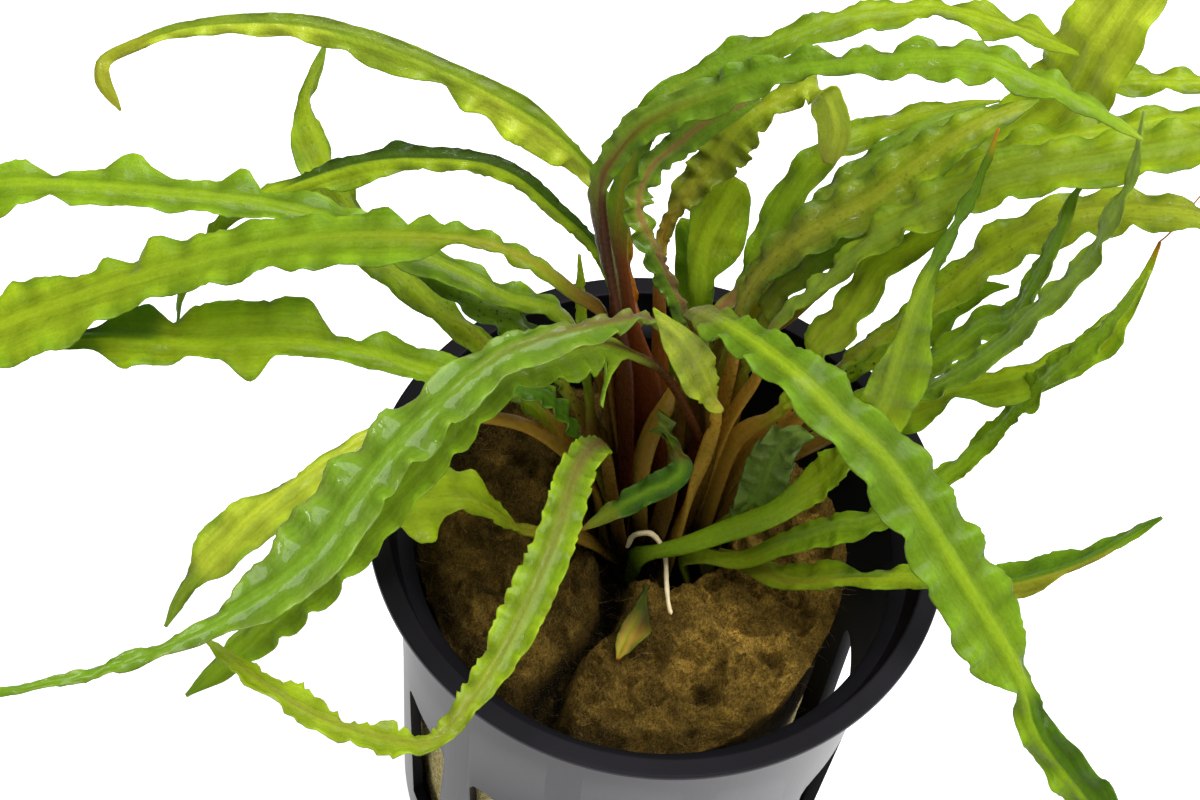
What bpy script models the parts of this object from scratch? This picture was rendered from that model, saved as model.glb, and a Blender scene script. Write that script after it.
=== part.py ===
"""A potted Cryptocoryne crispatula var. balansae, a ruffled aquarium plant.

A black net pot holds a plug of rock wool. The plant's crown sits in a hollow of the plug, and every leaf
rises from its own seat on the crown. The frame's origin is the middle of the pot's foot, +Z is up, and -Y is
the side that the plant is seen from. The tables are in millimetres, and the scene is in metres.
"""

import math
from typing import NamedTuple

import bmesh
import bpy
from mathutils import Vector, noise

MM = 0.001
GAP = 0.3

# Pot
POT_HEIGHT = 52.0
RIM_RADIUS = 27.5
RIM_WIDTH = 2.0
RIM_THICKNESS = 1.0
COLLAR_RADIUS = 25.8
COLLAR_DEPTH = 3.2
WALL_TOP_RADIUS = 24.1
FOOT_RADIUS = 22.1
WALL = 1.1
FLOOR = 1.2
POT_STEPS = 48

# Slots in the pot's wall and foot
SLOT_COUNT = 12
SLOT_TOP = 28.0
SLOT_BOTTOM = 6.0
SLOT_TOP_WIDTH = 8.2
SLOT_BOTTOM_WIDTH = 5.6
SLOT_CORNER = 1.6
SLOT_FIRST_DEG = 4.0
DRAIN_COUNT = 6
DRAIN_INNER = 7.0
DRAIN_OUTER = 17.0
DRAIN_WIDTH = 2.4

# Rock wool plug
PLUG_CENTRE = (-1.2, 0.4)
PLUG_RADIUS = 20.4
PLUG_FOOT_RADIUS = 19.0
PLUG_TOP = 45.0
PLUG_RINGS = 11
PLUG_SPOKES = 44

# Crown, where the leaves join
CROWN_CENTRE = (0.3, 2.0)
CROWN_RADII = (7.6, 6.2)
CROWN_TOP = 45.4
CROWN_HEIGHT = 5.0
SEAT_STEP = 0.95
GOLDEN_ANGLE = math.pi * (3.0 - math.sqrt(5.0))

# Leaf build
STATION_STEP = 3.1
PETIOLE_STEP = 5.0
TIP_WIDTH = 0.24
MIDRIB_THICKNESS = 0.55
PETIOLE_THICKNESS = 0.85


class Leaf(NamedTuple):
    """A leaf: its seat on the crown, the points its midrib runs through, and the form of its blade.

    blade and widest are shares of the leaf's length, where the blade starts and where it is widest. roll is
    the blade's turn about its midrib in degrees, at its start and at its tip. ruffle is how far the margins
    wave, and petiole is the stalk's width.
    """

    name: str
    seat: int
    route: tuple
    width: float
    blade: float
    widest: float
    roll: tuple
    ruffle: float
    petiole: float
    colour: str


COLOURS = {
    "lime": (0.30, 0.50, 0.02),
    "green": (0.16, 0.36, 0.02),
    "dark": (0.04, 0.20, 0.03),
    "waxy": (0.22, 0.40, 0.10),
    "olive": (0.22, 0.24, 0.03),
    "bronze": (0.24, 0.10, 0.03),
}

LEAVES = (
    Leaf("leaf_top_left_arch", 14, ((-6, 10, 65), (-8, 13, 75), (-12, 16, 83), (-22, 18, 88),
         (-36, 20, 90), (-47, 19, 89), (-54, 17, 86), (-55, 15, 85), (-53, 13, 83)), 4.6, 0.30, 0.55,
         (50, 50), 0.6, 1.2, "green"),
    Leaf("leaf_back_left_lime", 43, ((-10, 4.6, 55), (-19, 8, 64), (-24, 9, 67), (-32, 14, 72),
         (-36, 18, 76), (-38, 21, 79), (-37, 25, 82)), 3.8, 0.25, 0.60, (0, 0), 0.4, 1.2, "lime"),
    Leaf("leaf_left_dark_arch", 35, ((-6, 11, 63), (-9, 13, 73), (-14, 14, 78), (-19, 15, 81),
         (-25, 15, 81), (-33, 14, 79), (-43, 10, 74), (-46, 5, 69), (-46, 2, 68)), 4.0, 0.25, 0.60,
         (50, 20), 0.6, 1.2, "dark"),
    Leaf("leaf_left_long_upper", 22, ((-7, 7, 61), (-12, 8, 70), (-17, 7, 73), (-23, 8, 75), (-36, 9, 78),
         (-47, 8, 79), (-62, 6, 79), (-71, 3, 76), (-77, 0, 72)), 4.6, 0.24, 0.62, (0, 0), 0.8, 1.2,
         "green"),
    Leaf("leaf_left_long_lower", 4, ((-6, 4.5, 63), (-8, 5, 75), (-11, 5, 78), (-16, 5, 82), (-22, 5, 83),
         (-35, 4, 82), (-48, 1, 79), (-60, -4, 75), (-67, -8, 72), (-72, -11, 68)), 6.2, 0.34, 0.68,
         (0, 0), 0.9, 1.3, "lime"),
    Leaf("leaf_left_speckled", 9, ((-6, 4.5, 55), (-10, 5.5, 61), (-12, 6, 65), (-15, 7, 68), (-21, 8, 71),
         (-26, 9, 73), (-29, 10, 73)), 3.4, 0.40, 0.65, (0, 0), 0.5, 1.2, "dark"),
    Leaf("leaf_left_wavy", 38, ((-10.5, 3.5, 57), (-16, 2.5, 65.5), (-21, 1, 68), (-29, 0, 71),
         (-36, -1, 72), (-43, -2, 71), (-51, -3, 71), (-57, -4, 70)), 5.2, 0.22, 0.60, (0, 0), 1.0, 1.2,
         "lime"),
    Leaf("leaf_near_left_arch", 2, ((0.5, 2.6, 61), (-1, 1, 76), (-4, -3, 86), (-8, -7, 90),
         (-13, -10, 91), (-17, -13, 91), (-23, -22, 90), (-28, -32, 88), (-35, -39, 87), (-42, -44, 87),
         (-49, -47, 87), (-55, -48, 86)), 5.6, 0.32, 0.58, (0, 0), 0.8, 1.2, "waxy"),
    Leaf("leaf_left_crinkled", 10, ((2.2, 0.6, 61), (1.8, 0, 67), (-2, -2, 78), (-5, -4, 83), (-8, -4, 84),
         (-12, -7, 85.5), (-16, -10, 85), (-22, -19, 82), (-27, -26, 78), (-33, -33, 74), (-37, -36, 70)),
         4.6, 0.42, 0.62, (0, 0), 0.8, 1.2, "green"),
    Leaf("leaf_front_narrow", 20, ((-5, -2, 59), (-7, -6, 71), (-9, -12, 77), (-10, -21, 78),
         (-12, -30, 76), (-14, -36, 76), (-16, -39, 75), (-19, -40, 76), (-23, -40, 77), (-28, -39, 78),
         (-35, -36, 80)), 3.7, 0.28, 0.50, (0, 0), 0.4, 1.2, "green"),
    Leaf("leaf_front_right_broad", 5, ((5, 1, 62), (5, 0, 75), (3, -1.5, 86), (4, -5, 91), (8, -10, 93),
         (12, -12, 91), (17, -14, 88), (24, -19, 82), (31, -23, 74), (34, -26, 69), (39, -29, 65),
         (44, -32, 61), (48, -36, 56)), 7.0, 0.34, 0.58, (0, 0), 0.9, 1.4, "lime"),
    Leaf("leaf_left_low_crinkled", 33, ((-7, -3, 50.5), (-12, -6, 55), (-17, -7, 60), (-22, -10, 63),
         (-26, -13, 64), (-29, -18, 63)), 4.6, 0.30, 0.62, (0, 0), 0.9, 1.2, "lime"),
    Leaf("leaf_left_low_yellow", 25, ((-7, 2, 53), (-13, 2, 60), (-19, 0, 63), (-26, -4, 65),
         (-34, -12, 64), (-40, -19, 60), (-42, -23, 57)), 4.0, 0.40, 0.70, (0, 0), 0.4, 1.0, "olive"),
    Leaf("leaf_small_curled", 15, ((0.5, -1, 57), (0.7, -0.8, 63), (-0.8, -0.6, 67.5), (-2.6, -3, 66.6),
         (-4.4, -5, 63), (-7, -7, 58.5)), 2.8, 0.38, 0.65, (0, 0), 0.3, 1.1, "dark"),
    Leaf("leaf_small_yellow", 23, ((3, -0.5, 64), (3, -2, 74), (1, -4, 83), (-1, -4.5, 87.5),
         (-4, -5, 91.5)), 2.8, 0.60, 0.78, (0, 0), 0.3, 1.1, "olive"),
    Leaf("leaf_small_spear", 30, ((-6.6, 3.3, 55), (-7.4, 3.5, 58.5), (-8.3, 4.6, 63), (-10, 6, 73),
         (-11, 7, 81)), 1.5, 0.45, 0.70, (0, 0), 0.0, 1.0, "lime"),
    Leaf("leaf_top_near_arch", 12, ((-5, 3, 65), (-7, 5, 76), (-9, 7, 84), (-10, 8, 90), (-9, 9, 94),
         (-7, 10, 97), (-3, 11, 100), (4, 12, 104), (17, 13, 108), (23, 12, 108), (28, 11, 107),
         (33, 10, 105)), 3.7, 0.44, 0.72, (0, 0), 0.7, 1.3, "green"),
    Leaf("leaf_top_far_arch", 1, ((-4, 5, 63), (-6, 8, 73), (-8, 11, 80), (-8, 14, 86), (-7, 15, 91),
         (-4, 18, 94), (5, 22, 98), (9, 24, 99), (16, 26, 99), (23, 26, 98), (29, 26, 96)), 3.7, 0.40,
         0.68, (0, 0), 0.7, 1.3, "lime"),
    Leaf("leaf_crimped_purple", 0, ((2, 2.9, 58), (2.4, 2.8, 69), (-1, 3, 80), (-3, 4, 83), (-5, 5, 86),
         (-7, 7, 89), (-7, 9, 92), (-5, 11, 94), (-2, 13, 96), (2, 15, 97)), 2.6, 0.42, 0.72, (0, 0), 0.6,
         1.2, "bronze"),
    Leaf("leaf_crimped_olive", 6, ((-2, 8, 62), (-4, 12, 77), (-3, 13, 83), (-1, 15, 86), (1, 17, 90),
         (4, 19, 92), (7, 20, 93), (9, 18, 91), (9, 16, 88)), 3.4, 0.46, 0.70, (0, 0), 0.8, 1.2, "olive"),
    Leaf("leaf_back_broad_lime", 19, ((1.5, 10.5, 63), (0, 12, 72), (0, 15, 76), (2, 19, 80)), 4.6, 0.45,
         0.75, (0, 0), 0.3, 1.1, "lime"),
    Leaf("leaf_back_green", 40, ((-1, 12.5, 61), (0, 14, 66), (-1, 17, 71), (-2.5, 19, 73)), 3.6, 0.45,
         0.72, (0, 0), 0.4, 1.1, "green"),
    Leaf("leaf_back_amber", 27, ((-5, 13, 62), (-7, 15, 68), (-8, 18, 74), (-9, 21, 75)), 2.2, 0.45, 0.70,
         (0, 0), 0.3, 1.1, "olive"),
    Leaf("leaf_right_curled_edge", 11, ((2.3, 9, 63), (4, 12, 72), (6, 17, 79), (9, 21, 83), (12, 23, 84),
         (17, 25, 86), (24, 28, 86)), 3.2, 0.36, 0.60, (0, 0), 0.7, 1.1, "green"),
    Leaf("leaf_right_pink_rib", 7, ((-2.4, 0.8, 56), (-2, 2.6, 62), (-0.5, 3.8, 67.5), (2, 7.5, 75),
         (6, 11, 79), (11, 16, 86), (17, 20, 90), (22, 23, 91)), 2.4, 0.42, 0.70, (0, 0), 0.4, 1.2,
         "bronze"),
    Leaf("leaf_right_olive", 3, ((3.2, 4.2, 57), (3.8, 4.6, 64), (4, 5, 72), (4, 7, 79), (7, 9, 85),
         (13, 12, 89), (17, 15, 92), (21, 18, 94), (26, 21, 95)), 5.0, 0.44, 0.72, (0, 0), 0.7, 1.4,
         "olive"),
    Leaf("leaf_right_long", 8, ((4.5, 2.8, 64), (6.3, 3, 73), (7, 4, 80), (11, 6, 86), (15, 8, 91),
         (23, 11, 96), (31, 13, 98), (39, 15, 100), (48, 17, 100), (53, 17, 98)), 4.8, 0.36, 0.70, (0, 0),
         0.7, 1.4, "lime"),
    Leaf("leaf_right_dark_ruffle", 16, ((5, 5, 60), (5.5, 7, 70), (6.5, 8.5, 77), (8.5, 9.5, 80), (12, 11, 84),
         (15, 13, 86), (18, 15, 88)), 2.4, 0.42, 0.72, (0, 0), 0.6, 1.1, "olive"),
    Leaf("leaf_right_bright", 13, ((5.5, 3.2, 61), (9, 3, 68), (11, 5, 76), (13, 6, 80), (15, 9, 84),
         (19, 11, 87), (20, 13, 89)), 4.0, 0.44, 0.70, (0, 0), 0.7, 1.2, "lime"),
    Leaf("leaf_right_folded_tip", 21, ((7.5, 4, 58), (11, 4, 66), (14, 6, 73), (17, 7, 77), (21, 9, 81),
         (25, 12, 85), (30, 14, 88), (34, 15, 89), (38, 15, 90), (42, 15, 90), (46, 14, 88)), 5.0, 0.36,
         0.72, (0, 0), 0.7, 1.3, "olive"),
    Leaf("leaf_right_rising", 28, ((-1, -3, 49), (3, -3.2, 52.6), (6, -3, 55.6), (10, -3.5, 61),
         (13, -3, 66), (15, -3, 72), (17, -2, 78), (18, 2.5, 90), (21, 9, 97), (22, 13, 100)), 5.6, 0.34,
         0.66, (0, 0), 0.5, 1.2, "green"),
    Leaf("leaf_right_low", 31, ((3, -2, 49), (8, -3, 51), (12, -3, 56), (16, -3, 60), (19, -3, 62),
         (24, -1, 67), (28, 2, 70), (32, 5, 72), (35, 7, 74)), 2.8, 0.20, 0.40, (0, 0), 0.5, 1.3, "green"),
    Leaf("leaf_right_far", 34, ((8, 2.4, 57), (13, 3, 65), (19, 3.5, 70.5), (24, 4, 75), (30, 5, 78),
         (34, 7, 80), (36, 9, 82), (38, 12, 84), (39, 15, 86)), 4.0, 0.36, 0.62, (0, 0), 0.5, 1.2, "lime"),
    Leaf("leaf_right_twisted", 42, ((9, 5, 58), (15, 6, 66.5), (22, 7, 74.5), (25, 8, 79), (27, 7, 82),
         (28, 8, 86), (29, 10, 90), (30, 13, 93), (31, 14, 94)), 2.6, 0.38, 0.62, (0, 0), 0.5, 1.1,
         "dark"),
    Leaf("leaf_right_near_tip", 26, ((8, 0.6, 60), (16, 1, 71), (23, 1, 81), (26, 2, 85), (28, 3, 89),
         (31, 5, 94), (32, 7, 98), (33, 9, 101), (33, 13, 105)), 2.8, 0.40, 0.65, (0, 0), 0.4, 1.1,
         "waxy"),
    Leaf("leaf_right_dotted", 29, ((8, 6, 60), (17, 9, 70.5), (21, 10, 74.5), (23, 11.5, 77), (25, 12, 79),
         (27, 12, 80)), 3.4, 0.50, 0.75, (0, 0), 0.5, 1.1, "green"),
    Leaf("leaf_top_right_broad", 24, ((5, 14, 65), (13, 20, 74), (22, 25, 80), (28, 28, 84), (30, 29, 88),
         (31, 30, 93), (33, 33, 97), (34, 36, 100), (34, 39, 104)), 7.4, 0.48, 0.74, (0, 0), 0.3, 1.2,
         "lime"),
    Leaf("leaf_back_right_upper", 32, ((4, 14, 61), (6, 15, 65), (17, 25, 75), (25, 31, 80), (30, 33, 82),
         (34, 34, 84), (42, 35, 85), (50, 37, 85)), 3.4, 0.36, 0.70, (0, 0), 0.5, 1.1, "green"),
    Leaf("leaf_back_right_lower", 37, ((5, 11, 65), (9, 13, 69), (17, 19, 79), (24, 22, 85),
         (29, 23.5, 87), (34, 25, 88), (41, 27, 89), (49, 27, 88)), 3.8, 0.36, 0.70, (0, 0), 0.5, 1.1,
         "lime"),
    Leaf("leaf_right_low_front", 39, ((5, -1, 48), (9, -2, 49), (13, -5, 52), (18, -6, 56), (22, -7, 59),
         (27, -8, 62), (31, -9, 64), (37, -8, 68), (41, -6, 71), (43, -5, 73)), 3.4, 0.16, 0.45, (0, 0),
         0.4, 1.3, "olive"),
    Leaf("leaf_inner_dark", 18, ((6, -1, 54), (8.5, -1.3, 60), (9, -1, 66), (10, -1, 70), (12, -2, 72)), 2.8,
         0.30, 0.60, (0, 0), 0.5, 1.1, "dark"),
    Leaf("leaf_inner_crimped", 17, ((-5.8, 2, 53), (-8, 1.6, 59), (-10.5, 2, 64), (-13, 1.5, 67),
         (-17, 0, 68), (-19, -1, 68)), 2.6, 0.36, 0.65, (0, 0), 0.5, 1.1, "dark"),
)

# The small dead leaf that lies on the rock wool, and the white root beside it
SHED_LEAF = ((-0.1, -6.6, 49.2), (-0.4, -8.6, 48.7), (-1.1, -11.2, 48.2), (-1.7, -13.8, 47.8))
SHED_LEAF_WIDTH = 2.6
ROOT = ((-2.4, -4.3, 46.2), (-2.0, -4.3, 48.8), (-1.0, -4.3, 50.2), (0.5, -4.9, 50.0), (1.8, -6.4, 48.9),
        (2.4, -9.0, 47.2))
ROOT_RADIUS = 0.42


def clear_scene():
    for obj in list(bpy.data.objects):
        bpy.data.objects.remove(obj, do_unlink=True)


def collection(name):
    made = bpy.data.collections.new(name)
    bpy.context.scene.collection.children.link(made)
    return made


def material(name, colour, roughness, metallic=0.0):
    made = bpy.data.materials.new(name)
    made.use_nodes = True
    shader = made.node_tree.nodes["Principled BSDF"]
    shader.inputs["Base Color"].default_value = (*colour, 1.0)
    shader.inputs["Roughness"].default_value = roughness
    shader.inputs["Metallic"].default_value = metallic
    made.diffuse_color = (*colour, 1.0)
    return made


def add_object(name, mesh, home, finish):
    obj = bpy.data.objects.new(name, mesh)
    home.objects.link(obj)
    obj.data.materials.append(finish)
    return obj


def smooth_path(points):
    """Closely spaced Vectors on a smooth curve through the points, and each one's distance along it."""
    knots = [Vector(p) for p in points]
    ends = [knots[0] * 2 - knots[1], *knots, knots[-1] * 2 - knots[-2]]
    fine = []
    for before, start, end, after in zip(ends, ends[1:], ends[2:], ends[3:]):
        for share in (0.0, 0.125, 0.25, 0.375, 0.5, 0.625, 0.75, 0.875):
            a = (before * -0.5 + start * 1.5 - end * 1.5 + after * 0.5) * share**3
            b = (before - start * 2.5 + end * 2.0 - after * 0.5) * share**2
            c = (end - before) * (0.5 * share)
            fine.append(start + a + b + c)
    fine.append(knots[-1])
    lengths = [0.0]
    for first, second in zip(fine, fine[1:]):
        lengths.append(lengths[-1] + (second - first).length)
    return fine, lengths


def point_at(fine, lengths, distance):
    for i in range(1, len(fine)):
        if lengths[i] >= distance:
            span = lengths[i] - lengths[i - 1]
            share = (distance - lengths[i - 1]) / span if span else 0.0
            return fine[i - 1].lerp(fine[i], share)
    return fine[-1].copy()


def ease(x):
    x = min(max(x, 0.0), 1.0)
    return x * x * (3.0 - 2.0 * x)


def leaf_width(leaf, share):
    """The leaf's width at a share of its length: a petiole, a blade that swells, and a drawn-out tip."""
    if share < leaf.blade:
        return leaf.petiole
    if share < leaf.widest:
        swell = ease((share - leaf.blade) / (leaf.widest - leaf.blade))
        return leaf.petiole + (leaf.width - leaf.petiole) * swell
    rest = min(1.0, (share - leaf.widest) / (1.0 - leaf.widest))
    return max(TIP_WIDTH, leaf.width * (1.0 - rest**2.2) ** 1.1)


def seat_place(index):
    """A petiole's place on the crown: seats follow a sunflower spiral, as leaves on a short stem do."""
    radius = SEAT_STEP * math.sqrt(index + 0.5)
    turn = index * GOLDEN_ANGLE
    x = CROWN_CENTRE[0] + 1.12 * radius * math.cos(turn)
    y = CROWN_CENTRE[1] + 0.92 * radius * math.sin(turn)
    return x, y, CROWN_TOP + GAP


def stations(leaf, length):
    """Distances along the leaf: far apart on the petiole, then one on each crest and trough of a ruffle."""
    found = []
    distance = 0.0
    while distance < leaf.blade * length:
        found.append(distance)
        distance += PETIOLE_STEP
    count = max(4, round((1.0 - leaf.blade) * length / STATION_STEP))
    start = leaf.blade * length
    if found[-1] > start - 1.0 and len(found) > 1:
        found.pop()
    found += [start + (length - start) * i / count for i in range(count + 1)]
    return found


def leaf_mesh(leaf, route):
    """A thin closed strip, with a left margin, an upper midrib, a right margin and a lower midrib."""
    fine, lengths = smooth_path(route)
    length = lengths[-1]
    heading = Vector(route[-1]) - Vector(route[0])
    bm = bmesh.new()
    rings = []
    for order, distance in enumerate(stations(leaf, length)):
        share = distance / length
        here = point_at(fine, lengths, distance)
        ahead = point_at(fine, lengths, min(distance + 1.0, length))
        behind = point_at(fine, lengths, max(distance - 1.0, 0.0))
        along = (ahead - behind).normalized()
        outward = (here - fine[0]) + heading * 0.35
        flat = Vector((-outward.y, outward.x, 0.0))
        side = (flat - along * flat.dot(along)).normalized()
        up = along.cross(side)
        in_blade = ease((share - leaf.blade) / 0.08)
        turn = math.radians(leaf.roll[0] + (leaf.roll[1] - leaf.roll[0]) * share) * in_blade
        side, up = side * math.cos(turn) + up * math.sin(turn), up * math.cos(turn) - side * math.sin(turn)
        half = 0.5 * leaf_width(leaf, share)
        calm = in_blade * min(1.0, (1.0 - share) * 6.0)
        wave = leaf.ruffle * calm * (0.5 if order % 2 else -0.5)
        swell = 1.0 + 0.16 * calm * (1 if order % 2 else -1)
        thick = MIDRIB_THICKNESS + (PETIOLE_THICKNESS - MIDRIB_THICKNESS) * (1.0 - in_blade)
        thick = min(thick, 0.3 + 2.0 * half)
        fold = 0.16 * half * in_blade
        left = here + side * (half * swell) + up * (fold + wave)
        right = here - side * (half * (2.0 - swell)) + up * (fold - wave)
        corners = (left, here + up * thick * 0.5, right, here - up * thick * 0.5)
        rings.append([bm.verts.new(corner * MM) for corner in corners])
    for ring, following in zip(rings, rings[1:]):
        for margin, middle in ((0, 1), (2, 1), (2, 3), (0, 3)):
            # Both skins are split from the margin to the midrib, so that they bow the same way
            bm.faces.new((ring[margin], ring[middle], following[middle]))
            bm.faces.new((ring[margin], following[middle], following[margin]))
    bm.faces.new(rings[0][::-1])
    bm.faces.new(rings[-1])
    bmesh.ops.recalc_face_normals(bm, faces=bm.faces[:])
    mesh = bpy.data.meshes.new(leaf.name)
    bm.to_mesh(mesh)
    bm.free()
    return mesh


def make_leaves(home, finishes):
    for leaf in LEAVES:
        mesh = leaf_mesh(leaf, (seat_place(leaf.seat), *leaf.route))
        mesh.shade_smooth()
        mesh.set_sharp_from_angle(angle=math.radians(50))
        add_object(leaf.name, mesh, home, finishes[leaf.colour])


def pot_profile():
    """Half the pot's section, from the rim's top edge down the outside, in at the foot and up the inside."""
    inner_rim = RIM_RADIUS - RIM_WIDTH
    return (
        (inner_rim, POT_HEIGHT),
        (RIM_RADIUS, POT_HEIGHT),
        (RIM_RADIUS, POT_HEIGHT - RIM_THICKNESS),
        (COLLAR_RADIUS, POT_HEIGHT - RIM_THICKNESS - 0.2),
        (COLLAR_RADIUS - 0.2, POT_HEIGHT - COLLAR_DEPTH),
        (WALL_TOP_RADIUS, POT_HEIGHT - COLLAR_DEPTH - 0.7),
        (FOOT_RADIUS, 0.8),
        (FOOT_RADIUS - 0.8, 0.0),
        (0.0, 0.0),
        (0.0, FLOOR),
        (FOOT_RADIUS - WALL, FLOOR),
        (WALL_TOP_RADIUS - WALL, POT_HEIGHT - COLLAR_DEPTH - 1.0),
        (COLLAR_RADIUS - WALL - 0.2, POT_HEIGHT - COLLAR_DEPTH - 0.3),
        (inner_rim, POT_HEIGHT),
    )


def turned(name, profile, steps):
    """A profile of radius and height pairs, turned about the Z axis."""
    mesh = bpy.data.meshes.new(name)
    points = [(radius * MM, 0.0, height * MM) for radius, height in profile]
    mesh.from_pydata(points, [(i, i + 1) for i in range(len(points) - 1)], [])
    obj = bpy.data.objects.new(name, mesh)
    screw = obj.modifiers.new("Turn", "SCREW")
    screw.axis = "Z"
    screw.steps = steps
    screw.render_steps = steps
    screw.use_merge_vertices = True
    screw.merge_threshold = 0.00001
    screw.use_normal_calculate = True
    return obj


def wedge_cutter(name, outline, reach, turn, home):
    """A flat outline of (across, height) pairs, pushed through the wall along the direction of turn."""
    bm = bmesh.new()
    near, far = reach
    rings = [
        [bm.verts.new((x * MM, across * MM, height * MM)) for across, height in outline]
        for x in (near, far)
    ]
    for i in range(len(outline)):
        j = (i + 1) % len(outline)
        bm.faces.new((rings[0][i], rings[0][j], rings[1][j], rings[1][i]))
    bm.faces.new(rings[0][::-1])
    bm.faces.new(rings[1])
    bmesh.ops.recalc_face_normals(bm, faces=bm.faces[:])
    mesh = bpy.data.meshes.new(name)
    bm.to_mesh(mesh)
    bm.free()
    obj = bpy.data.objects.new(name, mesh)
    obj.rotation_euler.z = turn
    obj.hide_render = True
    obj.display_type = "WIRE"
    home.objects.link(obj)
    return obj


def make_pot(home, cutters, finish):
    pot = turned("net_pot", pot_profile(), POT_STEPS)
    home.objects.link(pot)
    pot.data.materials.append(finish)
    top = SLOT_TOP_WIDTH / 2
    foot = SLOT_BOTTOM_WIDTH / 2
    wall_slot = (
        (-foot, SLOT_BOTTOM),
        (foot, SLOT_BOTTOM),
        (top, SLOT_TOP - SLOT_CORNER),
        (top - SLOT_CORNER, SLOT_TOP),
        (SLOT_CORNER - top, SLOT_TOP),
        (-top, SLOT_TOP - SLOT_CORNER),
    )
    drain = DRAIN_WIDTH / 2
    foot_slot = ((-drain, -1.0), (drain, -1.0), (drain, FLOOR + 1.0), (-drain, FLOOR + 1.0))
    slots = [
        wedge_cutter(f"wall_slot_{i + 1:02d}", wall_slot, (18.0, 28.0),
                     math.radians(SLOT_FIRST_DEG) + i * math.tau / SLOT_COUNT, cutters)
        for i in range(SLOT_COUNT)
    ]
    slots += [
        wedge_cutter(f"foot_slot_{i + 1}", foot_slot, (DRAIN_INNER, DRAIN_OUTER),
                     i * math.tau / DRAIN_COUNT, cutters)
        for i in range(DRAIN_COUNT)
    ]
    for slot in slots:
        cut = pot.modifiers.new(slot.name, "BOOLEAN")
        cut.operation = "DIFFERENCE"
        cut.solver = "EXACT"
        cut.object = slot
    return pot


def plug_height(x, y):
    """The rock wool's upper surface: two lobes, the slit between them, the crown's hollow and small lumps."""
    left_lobe = 2.2 * math.exp(-((x + 13.0) ** 2 + (y + 3.0) ** 2) / 90.0)
    right_lobe = 2.0 * math.exp(-((x - 7.0) ** 2 + (y + 10.0) ** 2) / 80.0)
    slit_x = -4.0 + 0.14 * (y + 8.0)
    slit = 6.5 * math.exp(-((x - slit_x) ** 2) / 3.0) * ease((-1.0 - y) / 5.0) * ease((y + 20.0) / 6.0)
    lumps = 1.6 * noise.noise(Vector((x * 0.22, y * 0.22, 3.7)))
    lumps += 0.8 * noise.noise(Vector((x * 0.55, y * 0.55, 1.3)))
    across = (x - CROWN_CENTRE[0]) / (CROWN_RADII[0] + 1.6)
    ahead = (y - CROWN_CENTRE[1]) / (CROWN_RADII[1] + 1.6)
    from_crown = math.hypot(across, ahead)
    hollow = 1.0 - ease((from_crown - 0.9) / 0.35)
    surface = PLUG_TOP + left_lobe + right_lobe - slit + lumps
    floor = CROWN_TOP - CROWN_HEIGHT - GAP
    return surface + (floor - surface) * hollow


def plug_radius(turn):
    """The plug's outline: a rounded block that leaves a gap along the pot's right side."""
    return PLUG_RADIUS + 0.7 * math.cos(2.0 * turn + 0.6) + 0.45 * math.sin(5.0 * turn) - 0.8 * math.cos(turn)


def inner_wall_radius(height):
    """How far a filling can reach from the pot's axis at a height, just clear of the wall."""
    rise = height / (POT_HEIGHT - COLLAR_DEPTH)
    return FOOT_RADIUS + (WALL_TOP_RADIUS - FOOT_RADIUS) * rise - WALL - 1.5 * GAP


def make_plug(home, finish):
    bm = bmesh.new()
    spokes = [i * math.tau / PLUG_SPOKES for i in range(PLUG_SPOKES)]

    def ring(share, height=None, scale=1.0):
        made = []
        for turn in spokes:
            reach = plug_radius(turn) * share * scale
            x = PLUG_CENTRE[0] + reach * math.cos(turn)
            y = PLUG_CENTRE[1] + reach * math.sin(turn)
            pressed = min(1.0, inner_wall_radius(PLUG_TOP if height is None else height) / math.hypot(x, y))
            x *= pressed
            y *= pressed
            z = plug_height(x, y) if height is None else height
            if height is None and share > 0.97:
                z -= 1.6
            made.append(bm.verts.new((x * MM, y * MM, z * MM)))
        return made

    taper = PLUG_FOOT_RADIUS / PLUG_RADIUS
    shares = [(i / PLUG_RINGS) ** 0.8 for i in range(1, PLUG_RINGS)] + [0.97, 1.0]
    rings = [ring(share) for share in shares]
    rings.append(ring(1.0, height=30.0, scale=(1.0 + taper) / 2.0))
    rings.append(ring(1.0, height=FLOOR + GAP, scale=taper))
    middle_z = plug_height(*PLUG_CENTRE)
    middle = bm.verts.new((PLUG_CENTRE[0] * MM, PLUG_CENTRE[1] * MM, middle_z * MM))
    for i in range(PLUG_SPOKES):
        bm.faces.new((middle, rings[0][i], rings[0][(i + 1) % PLUG_SPOKES]))
    for inner, outer in zip(rings, rings[1:]):
        for i in range(PLUG_SPOKES):
            j = (i + 1) % PLUG_SPOKES
            bm.faces.new((inner[i], outer[i], outer[j], inner[j]))
    bm.faces.new(rings[-1][::-1])
    bmesh.ops.recalc_face_normals(bm, faces=bm.faces[:])
    mesh = bpy.data.meshes.new("rock_wool")
    bm.to_mesh(mesh)
    bm.free()
    mesh.shade_smooth()
    return add_object("rock_wool", mesh, home, finish)


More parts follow.
